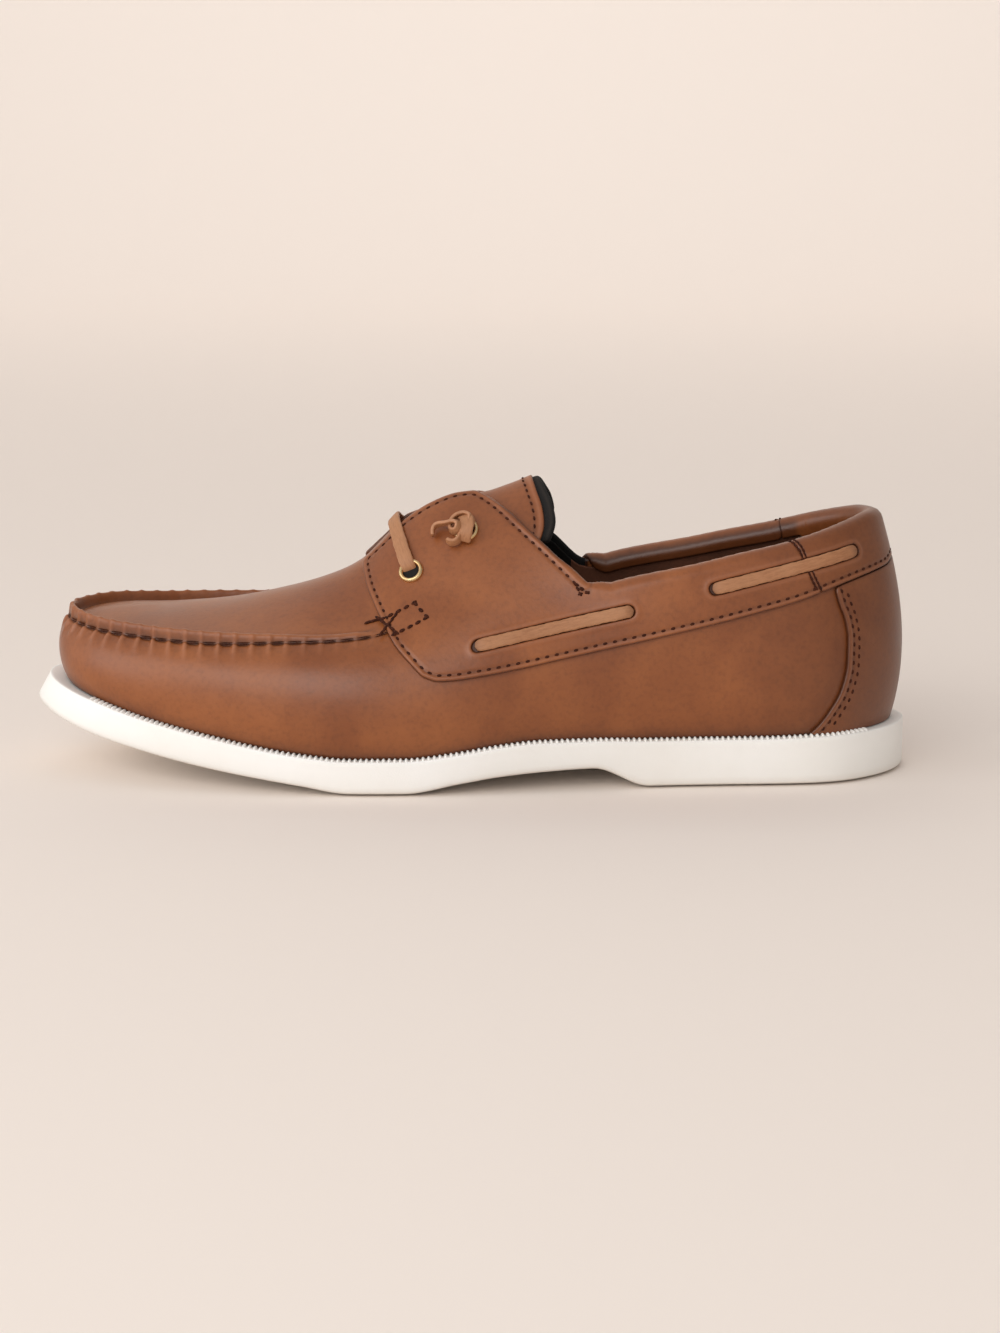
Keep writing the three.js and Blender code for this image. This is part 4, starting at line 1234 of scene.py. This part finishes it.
def saddle_lines(side):
    """The runs of a saddle's outline on the pattern: what is sewn down, the rim, the joint."""
    joint = side_to_pattern(side, *BAND_JOINT.T)
    sign = -1 if side == "outer" else 1

    # The hem, ahead to the front corner, and the front edge up to the throat.
    bottom_x = np.arange(116.4, -12.5, -1.5)
    bottom = side_to_pattern(side, bottom_x, bottom_z(bottom_x))
    front_z = np.concatenate([np.arange(39.2, 71, 1.2), np.arange(71.6, 92, 0.7)])
    places = on_side(side, front_x(front_z), front_z)
    reach = bare_last(*places)[:, 1] * sign
    front = on_pattern(*places)[reach > FACING_HALF[0, 1]]

    # The facing's edge along the throat, and the back of the wing down to the collar.
    facing_x = np.arange(-40, 12, 0.7)
    facing_u = turned_u(side, crossing(facing_x))
    half = np.interp(facing_x, *FACING_HALF.T)
    if side == "inner":
        half = half + INNER_WIDER * smooth((facing_x - THROAT_FRONT - 3) / 9)
    facing_s = halve(np.ones_like(facing_u), np.full_like(facing_u, 2.0),
                     lambda s: bare_last(facing_u, s)[..., 1] * sign > half)
    facing_z = bare_last(facing_u, facing_s)[:, 2] + 1.2
    keep = (front_x(facing_z) < facing_x) & (wing_z(facing_x) > facing_z)
    facing = on_pattern(facing_u[keep], facing_s[keep])
    wing_x = np.arange(facing_x[keep][-1] + 2.0, 38.8, 1.0)
    lower = 1.6 if side == "inner" else 0
    wing = side_to_pattern(side, wing_x, wing_z(wing_x) - lower)

    # Over the rim of the collar and back to the joint.
    collar_x = np.arange(41.5, 107.5, 1.5)
    collar_u = np.append(turned_u(side, crossing(collar_x)), u_at(joint[1][0]))
    collar = rim_places(collar_u, SADDLE_TUCK)
    flush = edge_girth(collar_u)
    over = smooth((np.append(collar_x, 120) - 39) / 4.5)
    collar[:, 1] = flush + (collar[:, 1] - flush) * over
    return np.concatenate([bottom, front, facing, wing]), collar, joint


def join_seam(side, shift):
    """A line beside the joint of saddle and heel band, from the hem to inside the collar."""
    low, high_end = side_to_pattern(side, *BAND_JOINT.T)
    rim = rim_places(u_at([high_end[0]]), SADDLE_TUCK + 6)
    ends = [[low], [high_end], rim] if side == "outer" else [[low], [high_end]]
    line = even_line(np.concatenate(ends), 0.6)[3:]
    return line + (shift if side == "outer" else -shift, 0)


def build_saddle(side):
    sewn, collar, joint = saddle_lines(side)
    seam = join_seam(side, -1.45)
    piece, outline = panel(f"saddle_{side}_leather", np.concatenate([sewn, collar, joint[::-1]]), sewn,
                           [slot_loop(side, "front"), slot_loop(side, "rear")], seams=[seam])
    stands_for(piece, "leather", f"saddle_{side}")
    return sewn, outline, seam


def heel_band_lines():
    """The heel band's hem from the outer side round the heel, and its edge inside the collar."""
    x = np.concatenate([np.arange(BAND_JOINT[0, 0] + 0.6, 141, 1.5), [141]])
    low = side_to_pattern("outer", x, bottom_z(x))
    behind = np.array([LAST_ROW - 0.6, LAST_ROW, LAST_ROW + 0.6])
    back = on_pattern(behind, s_at_height(behind, np.array([72.6, 73.0, 72.6])))
    far = side_to_pattern("inner", x[::-1], bottom_z(x[::-1]))
    outer, inner = (side_to_pattern(side, *BAND_JOINT.T) for side in SIDES)
    us = u_at(np.linspace(inner[1][0], outer[1][0], 130))
    deep = SADDLE_TUCK + (HEEL_TUCK - SADDLE_TUCK) * smooth((3.6 - np.abs(us - LAST_ROW)) / 0.12)
    return np.concatenate([low, back, far]), inner, rim_places(us, deep), outer


def build_heel_band():
    sewn, inner, rim, outer = heel_band_lines()
    slots = [slot_loop("outer", "rear"), slot_loop("inner", "rear")]
    piece, outline = panel("heel_band_leather", np.concatenate([sewn, inner, rim, outer[::-1]]),
                           sewn, slots, soft=2.0)
    stands_for(piece, "leather", "heel_band")
    return sewn, outline


def build_counter(hem):
    z = np.append(np.arange(17.6, 65, 1.2), 65.4)
    outer = side_to_pattern("outer", counter_x(z), z)
    inner = side_to_pattern("inner", counter_x(z[::-1]), z[::-1])
    under = hem[(hem[:, 0] > outer[-1][0] + 0.3) & (hem[:, 0] < inner[0][0] - 0.3)] - (0, 0.3)
    foot = np.linspace(inner[-1], outer[0], 60)
    foot_u = u_at(foot[:, 0])
    foot[:, 1] = girth_of(foot_u, np.zeros_like(foot_u)) + 0.2
    piece, outline = panel("heel_counter_leather", np.concatenate([outer, under, inner, foot]),
                           np.concatenate([outer, outer]), step=1.4, soft=1.5)
    stands_for(piece, "leather", "heel_counter")
    return (outer, inner), outline


edge_row = {"length": 1.65, "width": 1.05}
overlay_thread = []
for side in SIDES:
    sewn, outline, seam = build_saddle(side)
    overlay_thread.append(sewing(sewn, outline, pitch=3.3, **edge_row))
    for line in (seam, join_seam(side, 0.0)):
        overlay_thread.append(row_of_stitches(line, OVERLAY + GAP - 0.15, pitch=1.7, length=2.0,
                                              width=0.95, height=0.8))
hem, outline = build_heel_band()
overlay_thread.append(sewing(hem, outline, pitch=3.3, **edge_row))
counter_edges, outline = build_counter(hem)
for edge in counter_edges:
    overlay_thread.append(sewing(edge, outline, pitch=3.0, **edge_row))
    overlay_thread.append(sewing(edge[1:], outline, inset=3.7, rise=OVERLAY + GAP - 0.06, pitch=3.0,
                                 **edge_row))
for side in SIDES:
    for pitch, length, ends in TACKS:
        row = even_line(side_to_pattern(side, *np.array(ends).T), 0.4)
        overlay_thread.append(row_of_stitches(row, OVERLAY + GAP, pitch=pitch, length=length,
                                              width=pitch / 2, height=1.0))
    row = even_line(side_to_pattern(side, *SEAM_AHEAD.T, height=0), 0.4)
    overlay_thread.append(row_of_stitches(row, 0.2, pitch=2.1, length=2.9, width=1.1, height=1.0))
stands_for(joined("overlay_thread", overlay_thread, thread), "leather")

# ---- Tongue --------------------------------------------------------------------------------------
# A padded arch under the facings: leather on top, bound at the back with black cloth, which also
# lines it. A row of stitches runs inside its back edge.

TONGUE_TOP = -2.5            # its top, over the last
TONGUE_SKIN, TONGUE_THICK, TONGUE_HALF, TONGUE_FRONT = 1.0, 3.6, 23.5, -44.0
TONGUE_ROW = 3.1             # from the back edge to its row of stitches
TONGUE_BACK = np.array([  # z, x
    (54, 4), (60, 8), (73, 22), (80, 26.4), (86, 28), (91, 27), (96, 24.6), (99.4, 22.6), (102, 20),
])
tongue_x = row_curve(TONGUE_BACK[:, 0], TONGUE_BACK[:, 1])


def arch(x, y):
    """u and s of the last over these places in plan."""
    x, y = np.broadcast_arrays(np.asarray(x, float), np.asarray(y, float))
    u = np.where(y <= 0, crossing(x), LOOP - crossing(x))
    s = halve(np.full_like(x, 0.3), np.full_like(x, 2.0),
              lambda t: np.abs(bare_last(u, t)[..., 1]) > np.abs(y))
    return u, np.where(np.abs(y) < 1e-6, 2.0, s)


def tongue_sheet(name, top, thick, short, material, rim):
    """A sheet of the tongue. Its back edge ends short of the outline by short(y)."""
    y = np.linspace(-1, 1, 49) * TONGUE_HALF
    back = halve(np.full_like(y, 4.0), np.full_like(y, 32.0),
                 lambda x: tongue_x(last(*arch(x, y))[0][:, 2] + top) > x) - short(np.abs(y))
    ahead = np.concatenate([np.linspace(0, 1, 50) * 0.93, np.linspace(0.94, 1, 16)])
    edge = np.array([0, 0.1, 0.3, 0.6, 1.0])
    x = TONGUE_FRONT + np.outer(ahead, back - 1.2 - TONGUE_FRONT)
    x = np.concatenate([x, back - edge[::-1, None] * rim])
    near = np.concatenate([np.zeros(len(ahead)), 1 - edge[::-1]])
    dip = rim * (1 - np.sqrt(1 - near**2))[:, None]
    points, outs, _ = last(*arch(x, np.tile(y, (len(x), 1))))
    puff = 0.5 * hump(back - x - 9, 8)
    upper_face = points + outs * (top - dip + puff)[..., None]
    under_face = points + outs * (top - thick + np.minimum(dip, thick / 3))[..., None]
    rows, columns = x.shape
    faces = strip_faces(rows, columns, closed=False)
    count = rows * columns
    faces += [tuple(reversed([k + count for k in f])) for f in faces]
    loop = (list(range(columns)) + [i * columns + columns - 1 for i in range(1, rows)]
            + [(rows - 1) * columns + j for j in range(columns - 2, -1, -1)]
            + [i * columns for i in range(rows - 2, 0, -1)])
    faces += [(b, a, a + count, b + count) for a, b in zip(loop, loop[1:] + loop[:1])]
    from_edge = (back - x).ravel()
    # Darker at the cut edge in its own colour; the paler band just inside it is painted highlight, and
    # the darker line along the stitch row is painted shade.
    wear_and_painted_light = (0.5 * np.exp(-from_edge / 0.25) - 0.3 * hump(from_edge - 1.2, 0.7)
            + 0.3 * hump(from_edge - TONGUE_ROW, 0.55))
    piece = finished(name, np.concatenate([upper_face.reshape(-1, 3), under_face.reshape(-1, 3)]),
                     faces, material, np.concatenate([wear_and_painted_light, np.zeros(count)]))
    return mended(piece, face_outwards), y, back


tongue_skin, tongue_y, tongue_edge = tongue_sheet(
    "tongue_leather", TONGUE_TOP, TONGUE_SKIN, lambda y: 1.6 + 2.0 * np.minimum(y / 20, 1), leather, 0.45)
tongue_pad, _, _ = tongue_sheet("tongue_padding", TONGUE_TOP - TONGUE_SKIN, TONGUE_THICK - TONGUE_SKIN,
                                lambda y: 0 * y, backing, 1.1)
stands_for(tongue_skin, "leather", "tongue")
stands_for(tongue_pad, "lining", "tongue")
row_points, row_outs, _ = last(*arch(tongue_edge - TONGUE_ROW, tongue_y))
tongue_row = stitch_line(row_points + row_outs * (TONGUE_TOP + 0.35), row_outs, pitch=3.0,
                         length=1.8, width=0.8)
stands_for(joined("tongue_thread", [tongue_row], thread), "leather")

# ---- Outsole -------------------------------------------------------------------------------------
# One moulded piece of white rubber with a flat side, a raised arch and a low heel. The top of its
# welt is wheeled with fine ribs beside the leather. The tread's slits are drawn by its material,
# with painted shade in them, and painted shade darkens the rubber towards the floor.

TREAD_EDGE, TREAD_ROUND, TREAD_STEPS = 1.8, 8.0, 7  # the rounded lower edge: height, width, steps
TOE_LEAN, LEAN_FROM = 4.0, -60.0  # the toe's side leans ahead by this much, starting at this x
RIB_PITCH, RIB_FROM, RIB_TO = 1.85, -128.0, 134.0


def rubber_finish(name, slits):
    """White rubber, plain or with the fine zigzag slits of the tread, darkened with painted shade."""
    material, tree, shader = plain_material(name, (247, 245, 240), 0.5)
    place = on_piece(tree)
    tone = noise(tree, place, 22.0, 4.0)
    height = noise(tree, place, 1400.0, 3.0)
    wear_and_painted_light = kept(tree, "burnish_and_painted_light")
    colour = mix(tree, ramp(tree, tone, 0.35, 0.75), (253, 252, 249), (246, 243, 237))
    colour = mix(tree, ramp(tree, wear_and_painted_light, 0.0, 1.0), colour, (205, 196, 182))
    if slits:
        split = node(tree, "ShaderNodeSeparateXYZ", {"Vector": place})
        wave = node(tree, "ShaderNodeMath", {0: split.outputs["Y"], 1: 0.005}, operation="PINGPONG")
        lean_in = node(tree, "ShaderNodeMath", {0: wave.outputs["Value"], 1: 0.55,
                                                2: split.outputs["X"]}, operation="MULTIPLY_ADD")
        comb = node(tree, "ShaderNodeMath", {0: lean_in.outputs["Value"], 1: 0.0025},
                    operation="PINGPONG")
        cut = ramp(tree, comb.outputs["Value"], 0.0002, 0.0005)
        # The slits are darkened: painted shade in the cuts.
        colour = mix(tree, cut, (120, 112, 100), colour)
        deep = node(tree, "ShaderNodeMath", {0: cut, 1: 4.0, 2: height}, operation="MULTIPLY_ADD")
        height = deep.outputs["Value"]
    surface(tree, shader, height, 0.5, 0.0001, colour, ramp(tree, tone, 0.3, 0.7, 0.46, 0.58))
    return material


rubber = rubber_finish("white_rubber", False)
tread_rubber = rubber_finish("tread_rubber", True)


def sole_columns():
    """u of the sole's columns, evenly spaced along its edge."""
    run = run_along(np.stack([edge_x(U_TABLE), edge_y(U_TABLE)], 1))[:HALF_TABLE]
    down = np.interp(np.linspace(0, run[-1], 211), run, U_TABLE[:HALF_TABLE])
    return np.concatenate([down, LOOP - down[-2:0:-1]])


def build_outsole():
    """Rows of points from the middle of the tread out, up the side and in again over the top."""
    u = sole_columns()
    edge, spine, inward, _ = station(u)
    welt_width = welt(u)[:, None] + 1.5

    def ring(share, inset, height):
        plan = (edge + inward * inset) * (1 - share) + spine * share
        return np.concatenate([plan, (sole_top(plan[:, 0]) + height)[:, None]], 1)

    def under(share, inset, rise):
        plan = ring(share, inset, 0)
        out = np.maximum(0, (LEAN_FROM - plan[:, 0]) / (LEAN_FROM - SECTIONS[0, 1]))
        plan[:, 0] -= TOE_LEAN * out * out
        plan[:, 2] = sole_tread(plan[:, 0]) + rise
        return plan

    rows = [under(share, TREAD_ROUND, 0) for share in (1, 0.75, 0.5, 0.3, 0.15, 0.05, 0)]
    turns = np.linspace(0, 1, TREAD_STEPS)[1:] * math.pi / 2
    rows += [under(0, TREAD_ROUND * (1 - math.sin(t)), TREAD_EDGE * (1 - math.cos(t)))
             for t in turns]
    low, lip = rows[-1], ring(0, 0, -0.5)
    rows += [low * (1 - f) + lip * f for f in (0.15, 0.4, 0.65, 0.85, 1)]
    rows += [ring(0, 0.12, -0.14), ring(0, 0.45, 0), ring(0, 1.5, 0), ring(0, welt_width, 0)]
    rows += [ring(share, welt_width + 2, 0) for share in (0, 0.3, 0.65, 1)]
    # Painted shade: darker on the tread and most on the rounded lower edge, fading up the side.
    wear_and_painted_light = [0.25] * 7 + [0.5, 0.6, 0.6, 0.5, 0.4, 0.3, 0.12, 0.05]
    wear_and_painted_light += [0.0] * (len(rows) - len(wear_and_painted_light))
    piece = finished("outsole_rubber", np.concatenate(rows), strip_faces(len(rows), len(u)), rubber,
                     np.repeat(wear_and_painted_light, len(u)))
    piece.data.materials.append(tread_rubber)
    for face in piece.data.polygons:
        if face.normal.z < -0.97:
            face.material_index = 1
    return piece


def on_edge(side, x):
    """The u at which the sole's edge passes x."""
    return turned_u(side, float(halve(np.array(0.0), np.array(float(LAST_ROW)),
                                      lambda u: edge_x(u) < x)))


def build_ribs():
    """A row of short ribs across the welt on each side, beside the leather."""
    meshes = []
    for side in SIDES:
        u = np.linspace(on_edge(side, RIB_FROM), on_edge(side, RIB_TO), 900)
        edge, _, inward, _ = station(u)
        plan = edge + inward * 2.0
        points = np.concatenate([plan, (sole_top(plan[:, 0]) + 0.02)[:, None]], 1)
        points = even_line(points, 0.5)
        outs = np.tile([0.0, 0.0, 1.0], (len(points), 1))
        count = round(line_length(points) / RIB_PITCH)
        meshes.append(beads_along(RIB_TREE, points, outs, {
            "Count": count, "Length": 1.15 * MM, "Width": 3.7 * MM, "Height": 1.8 * MM, "Slant": 0.0,
            "Finish": rubber}))
    return joined("wheeled_welt", meshes, rubber)


RIB_TREE = bead_tree("ribs", 8, 6)
stands_for(build_outsole(), "rubber", "outsole")
stands_for(build_ribs(), "rubber")

# ---- Laces and eyelets ---------------------------------------------------------------------------
# Flat rawhide lace: it is threaded through slots in the band on both sides, crosses the throat
# through the front eyelets, and ends in a small stopper knot at each rear eyelet. The eyelets are
# rolled brass.

LACE_THICK = 1.4
LACE_SIDES, EYELET_SIDES = 20, 56  # points round a lace and round an eyelet
BAR_X, BAR_RISE = -24.8, 2.4  # where the front bar crosses the throat, and how high over the last
EYELET_SPOTS = {"front": (-19.1, 69.9), "rear": (-0.9, 83.0)}  # x, z
FRONT_LACE = np.array([  # z, x, height
    (69.8, -19.4, -1.2), (70, -19.5, 0.6), (70.6, -19.7, 2.2), (71.7, -20.1, 3.4),
    (73.2, -20.6, 3.85), (75.2, -21.3, 3.5), (78, -22.3, 2.8), (81, -23.3, 2.5),
    (84, -24.3, 2.5), (87, -24.8, 2.5),
])


def rawhide_finish():
    material, tree, shader = plain_material("rawhide", (176, 122, 80), 0.55)
    grain = node(tree, "ShaderNodeGroup", node_tree=GRAIN)
    along = kept(tree, "along", "Vector")
    fibres = noise(tree, along, 1.0, 5.0, Roughness=0.65)
    burnish_and_painted_light = kept(tree, "burnish_and_painted_light")
    colour = mix(tree, ramp(tree, fibres, 0.3, 0.72), (178, 122, 82), (146, 94, 58))
    colour = mix(tree, ramp(tree, grain.outputs["Clouds"], 0.35, 0.7, 0.0, 0.4), colour,
                 (196, 146, 106))
    # Darker where painted shade marks the lace's ends, paler on its worn edges.
    colour = worn_and_painted_light(tree, burnish_and_painted_light, colour, (72, 38, 20), (206, 150, 118))
    height = node(tree, "ShaderNodeMath", {0: fibres, 1: 1.4, 2: grain.outputs["Height"]},
                  operation="MULTIPLY_ADD")
    surface(tree, shader, height.outputs["Value"], 0.6, 0.0001, colour)
    return material


rawhide = rawhide_finish()
brass, brass_tree, brass_shader = plain_material("rolled_brass", (214, 172, 108), 0.3)
brass_shader.inputs["Metallic"].default_value = 1.0
tarnish = noise(brass_tree, on_piece(brass_tree), 420.0, 4.0)
brass_tree.links.new(mix(brass_tree, ramp(brass_tree, tarnish, 0.4, 0.75), (233, 203, 152),
                         (204, 164, 108)), brass_shader.inputs["Base Color"])
brass_tree.links.new(ramp(brass_tree, tarnish, 0.3, 0.7, 0.24, 0.36), brass_shader.inputs["Roughness"])


def strap(name, points, faces_out, width, thick, taper=0.0, painted_shade_at_ends=0.0, step=0.45):
    """A flat lace along a line. faces_out holds the directions that its broad face looks in."""
    run = run_along(points)
    marks = np.linspace(0, run[-1], max(8, round(run[-1] / step)) + 1)
    laid = np.stack([np.interp(marks, run, column) for column in
                     np.concatenate([points, faces_out], 1).T], 1)
    line, face = laid[:, :3], laid[:, 3:]
    for _ in range(3):
        line[1:-1] = (line[:-2] + 2 * line[1:-1] + line[2:]) / 4
    ahead = unit(np.gradient(line, axis=0))
    face = unit(face - (face * ahead).sum(-1, keepdims=True) * ahead)
    aside = np.cross(ahead, face)
    turn = np.arange(LACE_SIDES) / LACE_SIDES * 2 * math.pi
    shape = np.stack([np.sign(np.cos(turn)) * np.abs(np.cos(turn)) ** 0.45 * width / 2,
                      np.sign(np.sin(turn)) * np.abs(np.sin(turn)) ** 0.6 * thick / 2], 1)

    # Its width swells and shrinks a little along it, and narrows to nothing at a rounded end.
    from_end = np.minimum(marks, marks[-1] - marks)
    wide = 1 + 0.03 * np.sin(marks * 0.9 + len(name)) + 0.02 * np.sin(marks * 2.3)
    wide = wide * np.where(from_end < 0.01, 0.9, 1.0)
    if taper:
        wide = wide * np.sqrt(np.clip(1 - (1 - np.clip(from_end / taper, 0, 1)) ** 2, 0.02, 1))
    rows = (line[:, None] + (shape[:, 0] * wide[:, None])[..., None] * aside[:, None]
            + shape[:, 1, None] * face[:, None])
    # Its narrow edges are paler; near its ends, where it goes under the leather or into an eyelet, it is
    # darkened with painted shade.
    wear_and_painted_light = (np.where(np.abs(np.cos(turn)) > 0.93, -0.3, 0.0)
            + painted_shade_at_ends * np.exp(-from_end / 1.4)[:, None])
    weave = np.stack(np.broadcast_arrays(marks[:, None] * 0.35, *(shape.T * 2.2)[:, None]), -1)
    rows = np.concatenate([rows, np.repeat(line[[0, -1], None], LACE_SIDES, 1)])
    wear_and_painted_light = np.concatenate([wear_and_painted_light, np.full((2, LACE_SIDES), 0.2)])
    weave = np.concatenate([weave, weave[[0, -1]]])
    tips = len(marks) * LACE_SIDES
    faces = (strip_faces(len(marks), LACE_SIDES) + band_faces(tips, 0, LACE_SIDES)
             + band_faces(tips - LACE_SIDES, tips + LACE_SIDES, LACE_SIDES))
    made = mesh_object(name, rows.reshape(-1, 3) * MM, faces, rawhide)
    mark(made.data, "burnish_and_painted_light", wear_and_painted_light.ravel())
    mark(made.data, "along", weave.reshape(-1, 3))
    return mended(made, merge_doubles, face_outwards), line


def side_lace(side, name):
    """One stretch of lace in its slot, held down at both ends."""
    start, stop = np.array(SLOTS[name])
    long = math.hypot(*(stop - start))
    marks = np.linspace(1.3, long - 0.6, 80)
    places = start + (stop - start) * marks[:, None] / long
    points, outs = from_pattern(side_to_pattern(side, *places.T), 0.0)
    from_end = np.minimum(marks - marks[0], marks[-1] - marks)
    height = 1.62 - 0.75 * (1 - smooth(from_end / 3.0)) + 0.12 * np.sin(marks * 0.16 + 1)
    return strap(f"lace_{name}_{side}_strip", points + outs * height[:, None], outs, LACE_WIDTH - 0.1,
                 LACE_THICK, taper=LACE_WIDTH / 2, painted_shade_at_ends=0.5)[0]


def front_bar():
    """From one front eyelet over the facing, across the throat and down into the other."""
    fine = np.linspace(0, len(FRONT_LACE) - 1, 60)
    z, x, height = (np.interp(fine, np.arange(len(FRONT_LACE)), v) for v in FRONT_LACE.T)
    ends = []
    for side in SIDES:
        points, outs, _ = last(*on_side(side, x, z))
        ends.append(np.concatenate([points + outs * height[:, None], outs], 1))
    y = np.linspace(ends[0][-1, 1], ends[1][-1, 1], 22)[1:-1]
    points, outs, _ = last(*arch(np.full_like(y, BAR_X), y * 0.93))
    middle = np.concatenate([points + outs * BAR_RISE, outs], 1)
    step = 0.8
    laid = even_line(np.concatenate([ends[0], middle, ends[1][::-1]]) * (1, 1, 1, 8, 8, 8), step)
    from_end = np.minimum(np.arange(len(laid)), np.arange(len(laid))[::-1])[1:-1, None] * step
    for turn in range(45):  # it is eased everywhere first, then only away from the eyelets
        share = 1 if turn < 9 else smooth((from_end - 4) / 6)
        laid[1:-1] += share * ((laid[:-2] + 2 * laid[1:-1] + laid[2:]) / 4 - laid[1:-1])
    return strap("lace_front_bar_strip", laid[:, :3], unit(laid[:, 3:]), 4.9, 1.3, painted_shade_at_ends=0.9)[0]


def eyelet_frame(side, name):
    """The middle of an eyelet on the last, and its directions out, to the back and up."""
    x, z = EYELET_SPOTS[name]
    (point,), (out,), _ = last(*on_side(side, [x], [z]))
    back = unit(np.array([1.0, 0, 0]) - out[0] * out)
    up = np.cross(out, back) if side == "outer" else -np.cross(out, back)
    return point, out, back, up


EYELET_PROFILE = np.array([  # radius, height
    (2.8, 0.4), (2.74, 1.6), (2.78, 2.2), (2.92, 2.6), (3.2, 2.84), (3.52, 2.88), (3.84, 2.74),
    (4.1, 2.42), (4.26, 2.02), (4.3, 1.5), (4.1, 1.1), (3.1, 0.9), (2.86, 0.5),
])
SHADED_HOLE_PROFILE = ((2.86, 1.75), (1.6, 1.7), (0, 1.68), (1.6, 1.3), (2.86, 1.3), (2.86, 1.75))


def eyelet(side, name):
    """A rolled brass ring, and a dark disc in it that stands for the hole in painted shade."""
    point, out, back, up = eyelet_frame(side, name)
    turn = np.arange(EYELET_SIDES) / EYELET_SIDES * 2 * math.pi
    way = np.cos(turn)[:, None] * back + np.sin(turn)[:, None] * up
    ring, shaded_hole = (np.concatenate([point + way * r + out * h for r, h in profile])
                  for profile in (EYELET_PROFILE, SHADED_HOLE_PROFILE))
    count = len(EYELET_PROFILE)
    closing = band_faces((count - 1) * EYELET_SIDES, 0, EYELET_SIDES)
    ring = finished(f"eyelet_{name}_{side}_ring", ring, strip_faces(count, EYELET_SIDES) + closing,
                    brass)
    shaded_hole = finished(f"eyelet_{name}_{side}_hole", shaded_hole,
                    strip_faces(len(SHADED_HOLE_PROFILE), EYELET_SIDES), backing)
    return mended(ring, face_outwards), mended(shaded_hole, face_outwards)


KNOT = np.array([  # back, up, out from the rear eyelet, and the way its broad face looks there
    (0.6, -0.8, 2.2, 0.2, 0, 1), (1.4, 0.2, 4.0, 0.5, 0, 0.9), (2.2, 1.9, 4.9, 0.8, 0.3, 0.6),
    (1.9, 3.9, 4.6, 0.7, 0.8, 0.2), (0.2, 5.0, 4.4, 0, 1, 0.1), (-2.0, 4.9, 4.3, -0.4, 1, 0.1),
    (-4.0, 3.6, 4.3, -0.8, 0.7, 0.1), (-5.0, 1.6, 4.4, -1, 0.1, 0.1),
    (-4.9, -0.6, 4.5, -1, -0.4, 0.1), (-3.6, -2.0, 5.1, -0.4, -1, 0.2),
    (-2.0, -1.4, 6.2, 0.6, -0.9, 0.3), (-2.0, 0.3, 6.9, 0.9, 0.2, 0.4),
    (-3.6, 1.0, 6.7, 0.1, 1, 0.3), (-5.6, 1.0, 6.0, 0, 1, 0.2), (-7.8, 1.4, 5.0, 0.1, 1, 0.1),
    (-9.8, 1.4, 4.3, -0.3, 1, 0.1), (-10.9, 0.1, 4.0, -1, 0.3, 0.1), (-11.0, -2.2, 3.8, -1, 0, 0.1),
])
TAIL = np.array([
    (-1.4, -2.0, 3.6, 0.9, 0.4, 0.2), (-1.7, -3.8, 4.2, 0.9, -0.2, 0.2),
    (-2.9, -5.4, 4.2, 0.4, -0.9, 0.2), (-4.7, -5.6, 4.1, -0.4, -0.9, 0.2),
    (-6.0, -4.6, 4.0, -0.6, -0.8, 0.1),
])
WRAP = np.array([
    (-0.6, 4.6, 3.2, -0.1, 0.6, 0.8), (0.4, 3.4, 4.9, 0, 0.4, 1), (0.9, 1.2, 5.7, 0, 0.1, 1),
    (0.8, -1.2, 5.6, 0, -0.2, 1), (0.2, -3.4, 4.7, 0, -0.5, 0.9), (-0.6, -4.7, 3.0, -0.1, -0.8, 0.6),
])


def on_eyelet(side, rows):
    """A smooth line through rows that are given from the rear eyelet, and its face's directions."""
    point, out, back, up = eyelet_frame(side, "rear")
    fine = np.linspace(0, len(rows) - 1, 12 * len(rows))
    i = np.clip(fine.astype(int), 0, len(rows) - 2)
    f = (fine - i)[:, None]
    before, after = rows[np.maximum(i - 1, 0)], rows[np.minimum(i + 2, len(rows) - 1)]
    a, b = rows[i], rows[i + 1]
    row = 0.5 * ((2 * a) + (b - before) * f + (2 * before - 5 * a + 4 * b - after) * f**2
                 + (3 * a - before - 3 * b + after) * f**3)
    place = row[:, :1] * back + row[:, 1:2] * up + row[:, 2:3] * out
    face = row[:, 3:4] * back + row[:, 4:5] * up + row[:, 5:] * out
    return point + place, unit(face)


for side in SIDES:
    for name in ("front", "rear"):
        stands_for(side_lace(side, name), "lace", f"lace_{name}_{side}")
        ring, shaded_hole = eyelet(side, name)
        stands_for(ring, "brass", f"eyelet_{name}_{side}")
        stands_for(shaded_hole, "lining")
    tail, _ = strap(f"lace_tail_{side}_strip", *on_eyelet(side, TAIL), 3.0, 1.3, step=0.35)
    wrap, _ = strap(f"knot_{side}_wrap", *on_eyelet(side, WRAP), 4.6, 1.3, step=0.35)
    stands_for(tail, "lace", f"lace_tail_{side}")
    stands_for(wrap, "lace", f"knot_{side}")
    knot, line = strap(f"knot_{side}_strip", *on_eyelet(side, KNOT), 3.0, 1.3, step=0.35)
    stands_for(knot, "lace", f"knot_{side}")
stands_for(front_bar(), "lace", "lace_front_bar")
